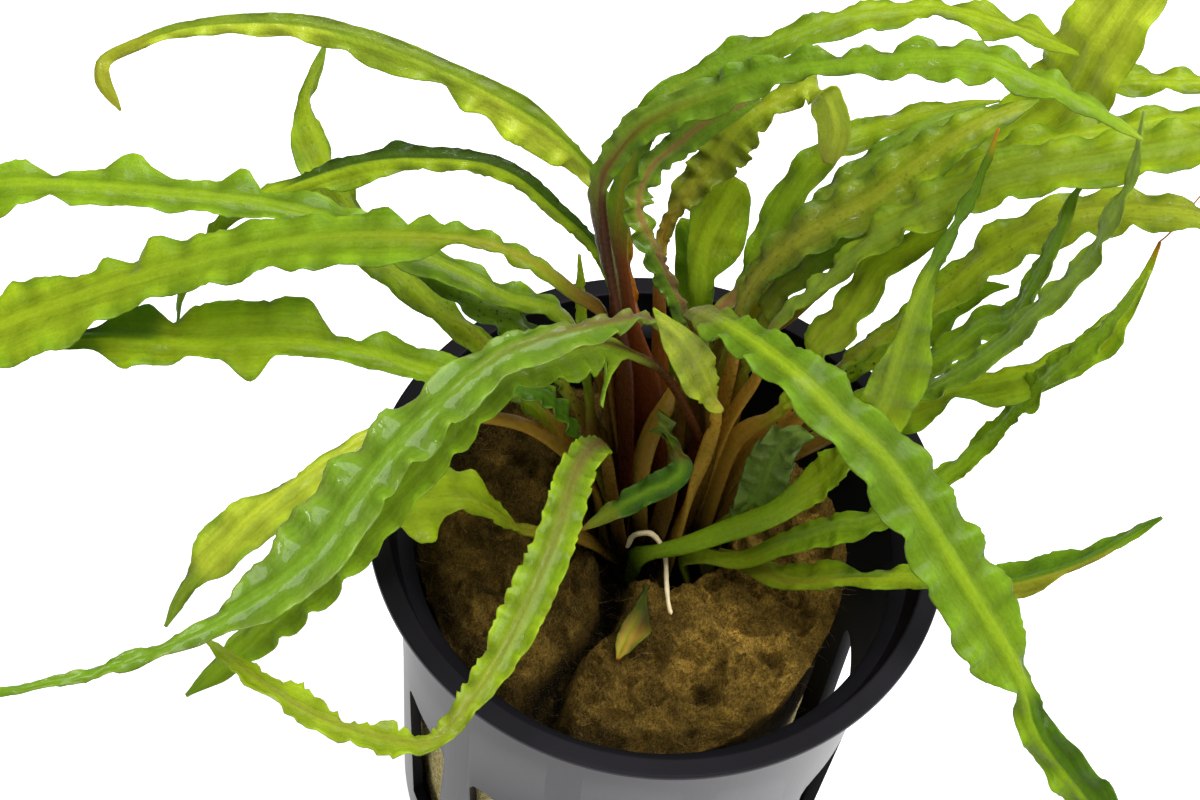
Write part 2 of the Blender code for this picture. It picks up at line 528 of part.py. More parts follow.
def make_crown(home, finish):
    """A low oval mound with a flat top that the petioles stand on."""
    bm = bmesh.new()
    bmesh.ops.create_cone(bm, cap_ends=True, segments=28, radius1=0.86, radius2=1.0, depth=1.0)
    bmesh.ops.scale(bm, vec=(CROWN_RADII[0] * MM, CROWN_RADII[1] * MM, CROWN_HEIGHT * MM), verts=bm.verts[:])
    middle = (CROWN_CENTRE[0] * MM, CROWN_CENTRE[1] * MM, (CROWN_TOP - CROWN_HEIGHT / 2.0) * MM)
    bmesh.ops.translate(bm, vec=middle, verts=bm.verts[:])
    mesh = bpy.data.meshes.new("crown")
    bm.to_mesh(mesh)
    bm.free()
    mesh.shade_smooth()
    mesh.set_sharp_from_angle(angle=math.radians(50))
    return add_object("crown", mesh, home, finish)


def make_root(home, finish):
    """The white root: a thin tube along a smooth curve."""
    fine, lengths = smooth_path(ROOT)
    count = 16
    data = bpy.data.curves.new("white_root", "CURVE")
    data.dimensions = "3D"
    data.bevel_depth = ROOT_RADIUS * MM
    data.bevel_resolution = 1
    data.use_fill_caps = True
    spline = data.splines.new("POLY")
    spline.points.add(count)
    for i in range(count + 1):
        place = point_at(fine, lengths, lengths[-1] * i / count) * MM
        spline.points[i].co = (*place, 1.0)
    obj = bpy.data.objects.new("white_root", data)
    home.objects.link(obj)
    data.materials.append(finish)
    return obj


def make_shed_leaf(home, finish):
    leaf = Leaf("shed_leaf", 0, SHED_LEAF, SHED_LEAF_WIDTH, 0.05, 0.45, (0, 0), 0.3, 1.0, "bronze")
    mesh = leaf_mesh(leaf, SHED_LEAF)
    mesh.shade_smooth()
    return add_object(leaf.name, mesh, home, finish)


def main():
    clear_scene()
    home = collection("potted_cryptocoryne_balansae")
    cutters = collection("cutters")
    finishes = {name: material("leaf_" + name, colour, 0.4) for name, colour in COLOURS.items()}
    make_pot(home, cutters, material("black_plastic", (0.02, 0.02, 0.022), 0.35))
    make_plug(home, material("rock_wool", (0.16, 0.10, 0.03), 0.95))
    make_crown(home, material("crown", (0.09, 0.05, 0.02), 0.7))
    make_leaves(home, finishes)
    make_root(home, material("white_root", (0.72, 0.66, 0.46), 0.5))
    make_shed_leaf(home, finishes["bronze"])


main()
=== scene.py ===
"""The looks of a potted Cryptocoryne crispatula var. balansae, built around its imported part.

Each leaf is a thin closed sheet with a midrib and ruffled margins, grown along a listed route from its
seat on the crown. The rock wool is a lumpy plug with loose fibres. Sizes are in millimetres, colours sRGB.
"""

import math
from typing import NamedTuple

import bmesh
import bpy
import numpy as np
from mathutils import Matrix, Vector, noise


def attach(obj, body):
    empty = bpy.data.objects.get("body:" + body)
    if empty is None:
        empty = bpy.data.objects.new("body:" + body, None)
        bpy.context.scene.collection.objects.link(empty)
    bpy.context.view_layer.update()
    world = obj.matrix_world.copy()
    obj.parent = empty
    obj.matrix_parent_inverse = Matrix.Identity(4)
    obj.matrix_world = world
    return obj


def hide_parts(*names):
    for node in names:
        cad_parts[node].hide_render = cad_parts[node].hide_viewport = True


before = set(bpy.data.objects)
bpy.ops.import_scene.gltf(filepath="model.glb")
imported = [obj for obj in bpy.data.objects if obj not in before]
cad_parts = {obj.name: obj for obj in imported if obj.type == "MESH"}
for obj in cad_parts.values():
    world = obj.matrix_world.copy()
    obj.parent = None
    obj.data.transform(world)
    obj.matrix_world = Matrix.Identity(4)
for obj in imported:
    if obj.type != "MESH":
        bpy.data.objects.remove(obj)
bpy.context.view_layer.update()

MM = 0.001
TAU = math.tau

# Pot
POT_HEIGHT = 52.0
RIM_RADIUS = 27.5
RIM_WIDTH = 2.0
RIM_THICKNESS = 0.7
COLLAR_RADIUS = 25.8
COLLAR_DEPTH = 3.2
WALL_TOP_RADIUS = 24.1
FOOT_RADIUS = 22.1
WALL = 1.1
FLOOR = 1.2
POT_STEPS = 180
SLOT_COUNT = 12
SLOT_TOP = 28.0
SLOT_BOTTOM = 6.0
SLOT_TOP_WIDTH = 8.2
SLOT_BOTTOM_WIDTH = 5.6
SLOT_CORNER = 1.6
SLOT_FIRST_DEG = 4.0
SLOT_CUT = (18.0, 28.0)
DRAIN_COUNT = 6
DRAIN_WIDTH = 2.4
DRAIN_CUT = (7.0, 17.0)
SHARP_EDGE_DEG = 35.0

# Rock wool, with the rows of its mesh
PLUG_CENTRE = (-1.2, 0.4)
PLUG_RADIUS = 20.4
PLUG_FOOT_RADIUS = 19.0
PLUG_TOP = 45.0
PLUG_SPOKES = 330
PLUG_TOP_ROWS = 110
PLUG_SIDE_ROWS = 41
PLUG_SIDE_TOP = 42.0
SLIT_DEPTH = 8.0

# The slit's line over the plug: y, x and half width
SLIT = np.array(((-22.0, -8.6, 2.2), (-19.0, -8.2, 2.0), (-16.0, -7.6, 1.5), (-13.0, -6.2, 1.0),
                 (-11.0, -4.9, 0.8), (-9.7, -3.8, 0.8), (-7.0, -3.0, 0.9), (-4.8, -3.0, 1.1),
                 (-2.6, -3.3, 1.3), (0.5, -3.7, 1.4)))

# Humps and pits of the plug: x, y, spread and height or depth
LOBES = ((-13.0, -3.0, math.sqrt(90.0), 2.2), (7.0, -10.0, math.sqrt(80.0), 2.0))
PITS = ((12.2, -10.3, 0.9, 2.2), (13.4, -11.6, 0.6, 1.6), (6.7, -14.5, 0.8, 1.9), (6.2, -18.3, 0.7, 1.8),
        (9.5, -13.0, 0.5, 1.2), (-15.0, -8.0, 0.8, 1.2), (-10.5, 5.5, 0.9, 1.2), (11.3, 8.0, 0.5, 2.0),
        (11.2, 6.6, 0.4, 1.8), (-16.5, 2.0, 0.6, 0.9), (2.4, -16.2, 0.5, 1.3), (15.0, -6.0, 0.5, 1.0))

# Layers of lumps: how closely they follow one another, the layer's place in the noise and their height
COARSE_LUMPS = ((0.22, 3.7, 1.8), (0.5, 1.3, 1.2))
FINE_LUMPS = ((1.0, 7.1, 0.60), (2.2, 2.9, 0.42), (4.8, 5.5, 0.24))
DENTS = ((0.65, 9.4, 1.0),)

# Loose fibres
FIBRE_COUNT = 4600
FIBRE_SEED = 11
FIBRE_STEPS = 6
FIBRES_ON_TOP = 0.86
FIBRE_COLOURS = ((150, 122, 66), (112, 86, 36), (80, 60, 22), (52, 38, 12), (176, 150, 92))

# Crown: scale and rise of each ring of its mound, and the spiral that the leaves stand on
CROWN_CENTRE = (0.3, 2.0)
CROWN_RADII = (7.6, 6.2)
CROWN_TOP = 45.4
CROWN_HEIGHT = 5.0
CROWN_SPOKES = 64
CROWN_RINGS = ((0.66, 0.0), (0.68, 0.3), (0.66, 0.62), (0.60, 0.85), (0.50, 1.0), (0.34, 1.06), (0.15, 1.08))
SEAT_STEP = 0.95
SEAT_SPREAD = (1.12, 0.92)
GOLDEN_ANGLE = math.pi * (3.0 - math.sqrt(5.0))

# White root, and the dry thread on the tip of leaf_right_far
ROOT = ((-2.4, -1.9, 48.5), (-2.1, -1.9, 50.3), (-1.5, -2.1, 51.4), (-0.5, -2.2, 51.9), (0.35, -2.4, 51.2),
        (1.1, -2.6, 49.7), (1.5, -3.1, 48.2), (1.85, -4.6, 47.2), (2.3, -6.5, 46.9), (2.7, -7.6, 46.9))
ROOT_RADIUS = 0.27
THREAD = ((38.9, 14.9, 85.9), (39.8, 15.6, 87.0), (41.2, 17.2, 89.5), (42.8, 19.0, 91.5))
THREAD_RADIUS = 0.09
TUBE_RINGS = 70
TUBE_SIDES = 14

# Leaf mesh: the longest step between rows, the fewest rows in a ruffle and the columns across
ROW_STEP = 0.45
RUFFLE_ROWS = 9.0
STALK_STEP = 1.1
STALK_SUNK = 3.4
TIP_WIDTH = 0.24
COLUMNS = np.array((0.0, 0.07, 0.14, 0.24, 0.38, 0.53, 0.68, 0.81, 0.91, 0.97, 1.0))
COLUMNS = np.concatenate((-COLUMNS[:0:-1], COLUMNS))
REACH = np.abs(COLUMNS)

# Studio in metres: each lamp's name, place, the point it faces, width and power in watts
LAMPS = (
    ("overhead_softbox", (0.26, 0.04, 0.92), (0.0, 0.0, 0.05), 0.6, 15.0),
    ("side_softbox", (0.75, 0.35, 0.40), (0.0, 0.0, 0.06), 0.5, 2.0),
    ("small_lamp", (-0.12, -0.20, 0.75), (0.0, 0.0, 0.06), 0.10, 1.2),
)
SKY_STRENGTH = 0.42
FLOOR_REACH = 1.6
CAMERA_PLACE = (-0.0072, -0.1493, 0.2925)
CAMERA_PITCH_DEG = 56.2
CAMERA_ROLL_DEG = 9.3
CAMERA_LENS = 90.0
CAMERA_SENSOR = 36.0
CAMERA_NEAR = 0.01

# Roughness, coat and glow of each kind of leaf
LEAF_FINISHES = {
    "leaf_lime": (0.27, 0.09, 0.50),
    "leaf_green": (0.27, 0.12, 0.45),
    "leaf_dark": (0.27, 0.12, 0.40),
    "leaf_waxy": (0.28, 0.25, 0.40),
    "leaf_olive": (0.28, 0.13, 0.45),
    "leaf_bronze": (0.28, 0.18, 0.38),
}
WHITE = (1.0, 1.0, 1.0, 1.0)
LEAF_TONE = 0.95
PALETTE = {
    "lime": (153, 175, 32),
    "bright": (135, 167, 31),
    "yellow_green": (182, 196, 58),
    "green": (112, 146, 30),
    "moss": (124, 136, 34),
    "deep": (74, 112, 22),
    "dark": (46, 76, 18),
    "wax": (126, 150, 54),
    "pale": (186, 196, 104),
    "khaki": (148, 146, 40),
    "olive": (106, 100, 26),
    "tan": (178, 142, 52),
    "amber": (200, 128, 34),
    "umber": (112, 82, 28),
    "russet": (134, 80, 30),
    "red_brown": (108, 50, 21),
    "maroon": (76, 26, 12),
    "plum": (112, 84, 56),
    "pink": (156, 98, 70),
}


class Leaf(NamedTuple):
    """A leaf's listed values. Shares run from 0 at its seat to 1 at its tip. Side 1 is left, -1 right."""

    name: str
    # Place on the crown's spiral
    seat: int
    # Greatest width, the shares where the blade starts and is widest, and the stalk's width
    width: float
    blade: float
    widest: float
    petiole: float
    finish: str
    # Length of a ruffle, and its height at the left and the right margin
    period: float
    wave: tuple
    route: tuple
    # Stalk, midrib, blade near and far, rim and tip
    colours: str
    # Degrees about the midrib at the seat and the tip, and further degrees at shares
    roll: tuple = (0, 0)
    turns: tuple = ((0.0, 0),)
    # Per cent of the length, with the left and the right half's width in tenths of a millimetre
    margins: tuple = ()
    # First and last share, side or 0 for both, colour and strength
    patches: tuple = ()
    # Share, side, how much wider and higher, and length
    lobes: tuple = ()
    # Sharpness of the folds, the blade's fold along its midrib, and the midrib's band of colour
    crimp: float = 0.0
    fold: float = 0.12
    band: float = 0.5
    fade: float = 0.9
    teeth: float = 0.05
    notch: float = 0.12
    sheath: float = 0.0
    wing: float = 0.0
    spots: float = 0.0
    blunt: float = 0.85


LEAVES = (
    Leaf("leaf_top_left_arch", 14, 4.6, 0.3, 0.55, 1.2, finish="leaf_green", period=5.0, wave=(0.6, 0.1),
         roll=(-40, -40), fold=0.05, notch=0.03,
         route=((-6, 10, 65), (-8, 13, 75), (-12, 16, 83), (-22, 18, 88), (-36, 20, 90), (-47, 19, 89),
          (-54, 17, 86), (-55, 15, 85), (-53, 13, 83)),
         colours="umber green yellow_green yellow_green lime khaki",
         turns=((0.86, 0), (0.94, -25), (0.965, -95), (1.0, -100)),
         margins=((36, 5, 5), (42, 10, 4), (45, 19, 3), (47.5, 26, 5), (50, 28, 9), (52.5, 29, 13),
          (55, 18, 12), (57.5, 25, 11), (60, 9, 10), (65, 20, 11), (68, 20, 11), (70, 12, 10),
          (73, 15, 11), (76, 9, 10), (79, 12, 9), (82, 7, 8), (84, 9, 7), (88, 5, 6), (91, 6, 5),
          (94, 5, 6), (96.5, 7, 8), (98.5, 4.5, 5), (100, 0.5, 0.5)),
         patches=((0.42, 0.9, -1, "deep", 0.6), (0.57, 0.72, 1, "green", 0.5),
          (0.9, 1.0, 0, "khaki", 0.6))),
    Leaf("leaf_back_left_lime", 43, 3.8, 0.25, 0.6, 1.2, finish="leaf_lime", period=5.0, wave=(0.25, 0.25),
         spots=0.4, notch=0.03,
         route=((-10, 4.6, 55), (-19, 8, 64), (-24, 9, 67), (-32, 14, 72), (-36, 18, 76), (-38, 21, 79),
          (-37, 25, 82)),
         colours="tan khaki lime lime green green",
         margins=((25, 6, 6), (35, 13, 12), (45, 16, 10), (50, 10, 20), (60, 24, 15), (70, 32, 11),
          (75, 32, 15), (80, 32, 9), (85, 27, 10), (88, 17, 8), (90, 9, 7), (93, 6, 12), (96, 6, 12),
          (100, 1, 1))),
    Leaf("leaf_left_dark_arch", 35, 4.0, 0.25, 0.6, 1.2, finish="leaf_dark", period=4.2, wave=(0.3, 0.2),
         roll=(-40, -40), fold=0.0, teeth=0.16, notch=0.03,
         route=((-6, 11, 63), (-9, 13, 73), (-14, 14, 78), (-19, 15, 81), (-25, 15, 81), (-33, 14, 79),
          (-43, 10, 74), (-46, 5, 69), (-46, 2, 68)),
         colours="olive deep lime lime green deep",
         margins=((30, 4, 4), (40, 8, 5), (45, 9, 7), (50, 9, 9), (55, 11, 9), (58, 8, 10), (60, 12, 10),
          (62, 9, 10), (65, 11, 16), (67, 16, 9), (70, 20, 7), (72, 21, 10), (74.5, 12, 6), (78, 12, 5),
          (80, 10, 9), (83, 9, 6), (90, 6, 6), (95, 5, 5), (100, 1, 1)),
         patches=((0.3, 0.78, -1, "dark", 0.9), (0.82, 1.0, 0, "green", 0.6))),
    Leaf("leaf_left_long_upper", 22, 4.6, 0.24, 0.62, 1.2, finish="leaf_green", period=5.2,
         wave=(0.35, 0.35), band=0.8, fade=0.4, notch=0.04,
         route=((-7, 7, 61), (-12, 8, 70), (-17, 7, 73), (-23, 8, 75), (-36, 9, 78), (-47, 8, 79),
          (-62, 6, 79), (-71, 3, 76), (-77, 0, 72)),
         colours="umber lime green bright bright green",
         margins=((24, 6, 6), (30, 9, 14), (33, 10, 18), (35, 14, 11), (37, 16, 16), (40, 20, 12),
          (45, 24, 20), (50, 25, 20), (55, 15, 22), (58, 17, 11), (60, 17, 31), (62.5, 20, 17),
          (64.5, 16, 15), (66, 21, 18), (68, 20, 24), (70, 17, 36), (73, 21, 18), (75, 23, 16),
          (77, 12, 11), (80, 26, 23), (82, 34, 18), (86, 20, 14), (90, 24, 20), (95, 12, 12),
          (100, 1.2, 1.2))),
    Leaf("leaf_left_long_lower", 4, 6.2, 0.34, 0.68, 1.3, finish="leaf_lime", period=4.8, wave=(0.35, 0.35),
         band=0.8, notch=0.04,
         route=((-6, 4.5, 63), (-8, 5, 75), (-11, 5, 78), (-16, 5, 82), (-22, 5, 83), (-35, 3.4, 81.4),
          (-48, -0.4, 78), (-60, -5.6, 74), (-67, -9.6, 71), (-72, -12, 67.5)),
         colours="umber khaki bright lime green lime",
         margins=((34, 8, 8), (40, 9, 12), (43, 5, 13), (45.5, 6, 19), (46.8, 10, 12), (48, 21, 27),
          (49.5, 26, 13), (52, 32, 32), (53.5, 31, 24), (56, 30, 22), (59, 34, 28), (61, 22, 26),
          (63, 32, 30), (66, 32, 24), (69, 30, 30), (71, 30, 34), (73, 32, 20), (75, 34, 28),
          (76.5, 38, 19), (78, 39, 23), (80, 50, 30), (83, 46, 38), (85, 48, 26), (92, 30, 30),
          (97, 15, 15), (100, 1.2, 1.2))),
    Leaf("leaf_left_speckled", 9, 3.4, 0.4, 0.65, 1.2, finish="leaf_dark", period=4.2, wave=(0.6, 0.5),
         spots=1.0,
         route=((-6, 4.5, 55), (-10, 5.5, 61), (-12, 6, 65), (-15, 7, 68), (-21, 8, 71), (-26, 9, 73),
          (-29, 10, 73)),
         colours="umber khaki green green deep deep"),
    Leaf("leaf_left_wavy", 38, 5.2, 0.22, 0.6, 1.2, finish="leaf_lime", period=6.5, wave=(0.3, 0.3),
         band=0.8, fade=0.3, notch=0.03,
         route=((-10.5, 3.5, 57), (-16, 2.5, 65.5), (-21, 1, 68), (-29, 0, 71), (-36, -1, 72),
          (-43, -2, 71), (-51, -3, 71), (-57, -4, 70)),
         colours="tan lime bright lime green deep",
         margins=((22, 6, 6), (35, 12, 12), (43, 16, 20), (48, 16, 21), (53, 14, 25), (56.5, 16, 11),
          (60, 14, 16), (64, 14, 43), (68, 18, 45), (71.2, 39, 44), (74.7, 19, 44), (80, 14, 38),
          (82, 24, 21), (85.7, 25, 36), (87.8, 31, 31), (92, 12, 14), (97, 9, 11), (100, 1.5, 1.5)),
         patches=((0.84, 1.0, -1, "deep", 0.85), (0.92, 1.0, 0, "deep", 0.7),
          (0.66, 0.8, -1, "bright", 0.4))),
    Leaf("leaf_near_left_arch", 2, 5.6, 0.32, 0.58, 1.2, finish="leaf_waxy", period=4.8, wave=(0.5, 0.5),
         band=0.5, fade=1.0, teeth=0.08, notch=0.04,
         route=((0.5, 2.6, 61), (-1, 1, 76), (-4.1, -2.7, 86.7), (-8, -6.7, 90.8), (-13, -9.8, 91.5),
          (-17, -13, 91), (-23, -22, 90), (-28, -32, 88), (-35, -39, 87), (-42, -44, 87), (-49, -47, 87),
          (-55, -48, 86)),
         colours="umber plum green green wax lime",
         margins=((32, 6, 6), (40, 6, 7), (43, 16, 7), (47, 22, 9), (50, 24, 15), (52, 19, 14),
          (55, 25, 22), (57.5, 22, 18), (60, 26, 28), (63, 20, 24), (65, 24, 34), (68, 23, 30),
          (70, 27, 37), (73, 23, 26), (75, 25, 24), (78, 16, 10), (80, 12, 6), (82, 8, 5), (85, 7, 7),
          (90, 4, 4.5), (96, 4, 3.5), (100, 1.2, 1.2)),
         patches=((0.34, 0.46, -1, "plum", 0.4), (0.52, 0.7, 1, "green", 0.4))),
    Leaf("leaf_left_crinkled", 10, 4.6, 0.42, 0.62, 1.2, finish="leaf_green", period=4.0, wave=(0.6, 0.6),
         teeth=0.08, notch=0.08,
         route=((2.2, 0.6, 61), (1.8, 0, 67), (-2, -2, 78), (-5, -4, 83), (-8, -4, 84), (-12, -7, 85.5),
          (-16, -10, 85), (-22, -19, 82), (-27, -26, 78), (-33, -33, 74), (-37, -36, 70)),
         colours="maroon maroon bright bright bright green",
         lobes=((0.462, 1, 6.0, -0.5, 0.7),),
         margins=((44, 6, 6), (47, 14, 8), (50, 32, 10), (53, 30, 12), (56, 24, 14), (60, 22, 18),
          (70, 24, 22), (80, 26, 22), (88, 22, 18), (94, 14, 12), (100, 1.2, 1.2))),
    Leaf("leaf_front_narrow", 20, 3.7, 0.28, 0.5, 1.2, finish="leaf_green", period=3.4, wave=(0.3, 0.3),
         band=0.8, fade=0.55, teeth=0.24, notch=0.04,
         route=((-5, -2, 59), (-6.4, -6, 71.6), (-8.1, -12, 77), (-9.2, -21, 78), (-11.6, -30, 76),
          (-14, -36, 76), (-16, -39, 75), (-19, -40, 76), (-23, -40, 77), (-28, -39, 78), (-35, -36, 80)),
         colours="umber plum bright lime lime lime",
         margins=((28, 6, 6), (33, 13, 10), (40, 15, 14), (45, 17, 16), (50, 18, 16), (55, 19, 18),
          (60, 19, 19), (65, 15, 14), (70, 11, 11), (75, 8, 8), (77, 9, 9), (80, 20, 17), (83, 16, 9),
          (86, 20, 10), (90, 16, 24), (95, 20, 16), (98, 12, 12), (100, 2, 2))),
    Leaf("leaf_front_right_broad", 5, 7.0, 0.34, 0.58, 1.4, finish="leaf_lime", period=4.6,
         wave=(0.55, 0.55), band=0.8, fade=0.3, teeth=0.08, notch=0.04,
         route=((3.6, 1.4, 60), (2, 1.2, 74), (-0.3, 0.2, 83.5), (-0.6, -1, 86.4), (0.9, -2.6, 88.4),
          (3.1, -5.2, 90.8), (8, -10, 93), (12, -12, 91), (17, -14, 88), (24, -19, 82), (31, -23, 74),
          (34, -26, 69), (39, -29, 65), (44, -32, 61), (48, -36, 56)),
         colours="umber lime green bright green bright",
         turns=((0.77, 0), (0.84, 50), (1.0, 55)),
         margins=((33, 6, 6), (36, 12, 10), (38, 15, 18), (40, 16, 25), (42, 18, 20), (45, 22, 24),
          (47.5, 24, 20), (50, 28, 25), (53, 23, 23), (55, 25, 28), (60, 33, 33), (62.5, 30, 31),
          (65, 35, 36), (68, 30, 34), (70, 35, 40), (73, 25, 40), (76, 13, 24), (77.5, 9, 9),
          (80, 13, 15), (85, 22, 17), (90, 24, 18), (95, 14, 13), (100, 1.2, 1.2)),
         patches=((0.33, 0.39, 0, "plum", 0.45), (0.78, 1.0, 1, "deep", 0.85),
          (0.78, 1.0, -1, "bright", 0.6))),
    Leaf("leaf_left_low_crinkled", 33, 4.6, 0.3, 0.62, 1.2, finish="leaf_lime", period=4.0, wave=(0.3, 0.3),
         teeth=0.08, notch=0.03,
         route=((-7, -3, 50.5), (-12, -6, 55), (-17, -7, 60), (-22, -10, 63), (-26, -13, 64),
          (-29, -18, 63)),
         colours="tan khaki lime lime lime green",
         margins=((20, 5, 5), (35, 6, 10), (40, 7, 13), (45, 12, 25), (47.5, 11, 23), (50, 10, 39),
          (55, 13, 33), (60, 12, 41), (65, 16, 38), (67, 26, 36), (70, 42, 34), (74, 35, 30),
          (78, 12, 25), (85, 20, 20), (95, 10, 10), (100, 1, 1))),
    Leaf("leaf_left_low_yellow", 25, 4.0, 0.4, 0.7, 1.0, finish="leaf_olive", period=5.0, wave=(0.15, 0.15),
         band=0.7, notch=0.02,
         route=((-7, 2, 53), (-13, 2, 60), (-19, 0, 63), (-26, -4, 65), (-34, -12, 64), (-40, -19, 60),
          (-42, -23, 57)),
         colours="tan khaki yellow_green yellow_green green green",
         margins=((40, 5, 5), (50, 8, 6), (60, 12, 8), (65, 13, 8), (70, 24, 6), (75, 29, 11),
          (80, 27, 24), (85, 24, 26), (88, 22, 22), (90, 14, 14), (93, 9, 7), (96, 7, 7), (99, 3, 3),
          (100, 1, 1)),
         patches=((0.9, 1.0, 0, "deep", 0.6),)),
    Leaf("leaf_small_curled", 15, 2.8, 0.5, 0.76, 1.1, finish="leaf_dark", period=3.2, wave=(0.3, 0.3),
         band=0.4, fade=0.0, teeth=0.1, notch=0.03,
         route=((0.5, -1, 57), (0.2, -0.4, 62.5), (-0.9, 0.2, 66.5), (-1.5, -0.2, 67.6),
          (-0.4, -1.5, 67.2), (1.1, -2.9, 65.6), (0.3, -3.9, 64.2), (-1.6, -4.4, 62.6),
          (-3.9, -5.2, 60.5), (-7, -7, 58.3)),
         colours="umber green deep deep deep russet",
         margins=((49, 5, 5), (54, 12, 12), (59, 13, 13), (63, 11, 11), (66.5, 7, 9), (71, 10, 13),
          (76, 11, 14), (83, 12, 12), (90, 10, 9), (95, 6, 6), (100, 0.6, 0.6)),
         patches=((0.5, 0.62, 0, "moss", 0.5), (0.64, 0.68, 0, "umber", 0.7), (0.9, 1.0, 0, "khaki", 0.5))),
    Leaf("leaf_small_yellow", 23, 2.8, 0.6, 0.78, 1.1, finish="leaf_olive", period=4.0, wave=(0.15, 0.15),
         roll=(-90, -90), band=0.7, spots=0.3, notch=0.03,
         route=((3, -0.5, 64), (3, -2, 74), (1, -4, 83), (-1, -4.5, 87.5), (-4, -5, 91.5)),
         colours="tan khaki yellow_green yellow_green lime lime",
         margins=((60, 5, 5), (65, 15, 8), (68, 12, 8), (70, 19, 11), (72, 17, 8), (75, 24, 12),
          (80, 25, 13), (85, 23, 11), (90, 20, 7), (95, 11, 4), (98, 5, 2), (100, 0.8, 0.8)),
         patches=((0.6, 0.66, 0, "khaki", 0.4),)),
    Leaf("leaf_small_spear", 30, 1.5, 0.45, 0.7, 1.0, finish="leaf_lime", period=6.0, wave=(0.03, 0.03),
         route=((-6.6, 3.3, 55), (-7.4, 3.5, 58.5), (-8.3, 4.6, 63), (-10, 6, 73), (-11, 7, 81)),
         colours="umber moss green lime lime lime"),
    Leaf("leaf_top_near_arch", 12, 3.7, 0.44, 0.72, 1.3, finish="leaf_green", period=3.8, wave=(0.4, 0.4),
         band=0.5, fade=1.0, teeth=0.12, sheath=3.2, notch=0.06,
         route=((-5, 3, 65), (-7, 5, 76), (-9, 7, 84), (-10, 8, 90), (-9, 9, 94), (-7, 10, 97),
          (-3, 11, 100), (4, 12, 104), (17, 13, 108), (23, 12, 108), (28, 11, 107), (33, 10, 105)),
         colours="maroon red_brown green bright green lime",
         margins=((30, 4.5, 4.5), (36, 4.5, 4.5), (37.5, 12, 4.5), (38.5, 9, 4.5), (40, 14, 4.5),
          (41, 10, 4.5), (42.5, 15, 4.5), (43.5, 11, 4.5), (45, 15, 4.5), (46.5, 11, 5), (48, 14, 8),
          (49.5, 10, 11), (51, 15, 13), (52.5, 12, 10), (54, 17, 16), (55.5, 12, 13), (57.5, 15, 19),
          (59, 12, 15), (61, 15, 20), (65, 20, 17), (68, 15, 9), (70, 21, 8), (73, 10, 9), (75, 16, 12),
          (77, 9, 20), (79, 19, 16), (82, 10, 25), (84, 18, 26), (87, 16, 22), (90, 16, 18), (93, 13, 13),
          (96, 10, 10), (100, 1.2, 1.2)),
         patches=((0.37, 0.47, 1, "moss", 0.8), (0.37, 0.46, -1, "maroon", 0.9),
          (0.5, 0.62, 1, "wax", 0.4))),
    Leaf("leaf_top_far_arch", 1, 3.7, 0.4, 0.68, 1.3, finish="leaf_lime", period=5.0, wave=(0.3, 0.3),
         band=0.5, fade=1.0, teeth=0.1, sheath=5.0, notch=0.06,
         route=((-4, 5, 63), (-6, 8, 73), (-8, 11, 80), (-8, 14, 86), (-7, 15, 91), (-4, 18, 94),
          (5, 22, 98), (9, 24, 99), (16, 26, 99), (23, 26, 98), (29, 26, 96)),
         colours="red_brown khaki green lime green lime",
         margins=((38, 6, 6), (44, 13, 11), (46, 9, 10), (49, 15, 14), (52, 11, 13), (55, 15, 15),
          (60, 7, 15), (63, 12, 16), (65, 18, 16), (68, 6, 16), (70, 10, 16), (72, 12, 17), (75, 6, 22),
          (78, 9, 23), (80, 9, 22), (83, 8, 18), (85, 9, 6), (87, 12, 12), (90, 20, 26), (93, 12, 10),
          (95, 30, 17), (97, 15, 10), (100, 1.5, 1.5))),
    Leaf("leaf_crimped_purple", 0, 2.6, 0.42, 0.72, 1.2, finish="leaf_bronze", period=2.4, wave=(0.5, 0.5),
         crimp=0.4, band=0.45, fade=0.2, teeth=0.22, notch=0.3, wing=0.12,
         route=((2, 2.9, 58), (2.4, 2.8, 69), (-1, 3, 80), (-2.8, 4, 83), (-4.6, 5, 86), (-6.6, 7, 89),
          (-6.3, 9, 91.8), (-4.2, 11, 93.6), (-1.6, 13, 95.4), (2, 15, 96.6)),
         colours="plum pink moss green green green",
         margins=((30, 4, 4), (45, 6, 4.5), (60, 11, 4.5), (70, 13, 6), (75, 13, 10), (80, 11, 14),
          (85, 12, 15), (90, 13, 16), (96, 10, 11), (100, 3, 3)),
         patches=((0.45, 0.72, 1, "deep", 0.8), (0.3, 0.7, -1, "plum", 0.8))),
    Leaf("leaf_crimped_olive", 6, 3.4, 0.46, 0.7, 1.2, finish="leaf_olive", period=2.4, wave=(0.6, 0.6),
         crimp=0.4, band=0.7, fade=0.8, teeth=0.2, notch=0.3,
         route=((-2, 8, 62), (-4, 12, 77), (-3, 13, 83), (-1, 15, 86), (1, 17, 90), (4, 19, 92),
          (7, 20, 93), (9, 18, 91), (9, 16, 88)),
         colours="russet tan khaki lime moss khaki",
         margins=((50, 5, 5), (60, 6, 8), (63, 14, 13), (66, 18, 15), (70, 20, 21), (73, 16, 26),
          (77, 16, 21), (80, 10, 15), (83, 10, 12), (87, 17, 17), (90, 22, 17), (93, 20, 17),
          (96, 17, 16), (98.5, 12, 12), (100, 3, 5)),
         patches=((0.6, 0.8, 0, "green", 0.3), (0.86, 1.0, 0, "yellow_green", 0.7))),
    Leaf("leaf_back_broad_lime", 19, 4.6, 0.45, 0.75, 1.1, finish="leaf_lime", period=5.0, wave=(0.2, 0.2),
         notch=0.02,
         route=((1.5, 10.5, 63), (0, 12, 72), (0, 15, 76), (2, 19, 80)),
         colours="olive green bright lime green lime",
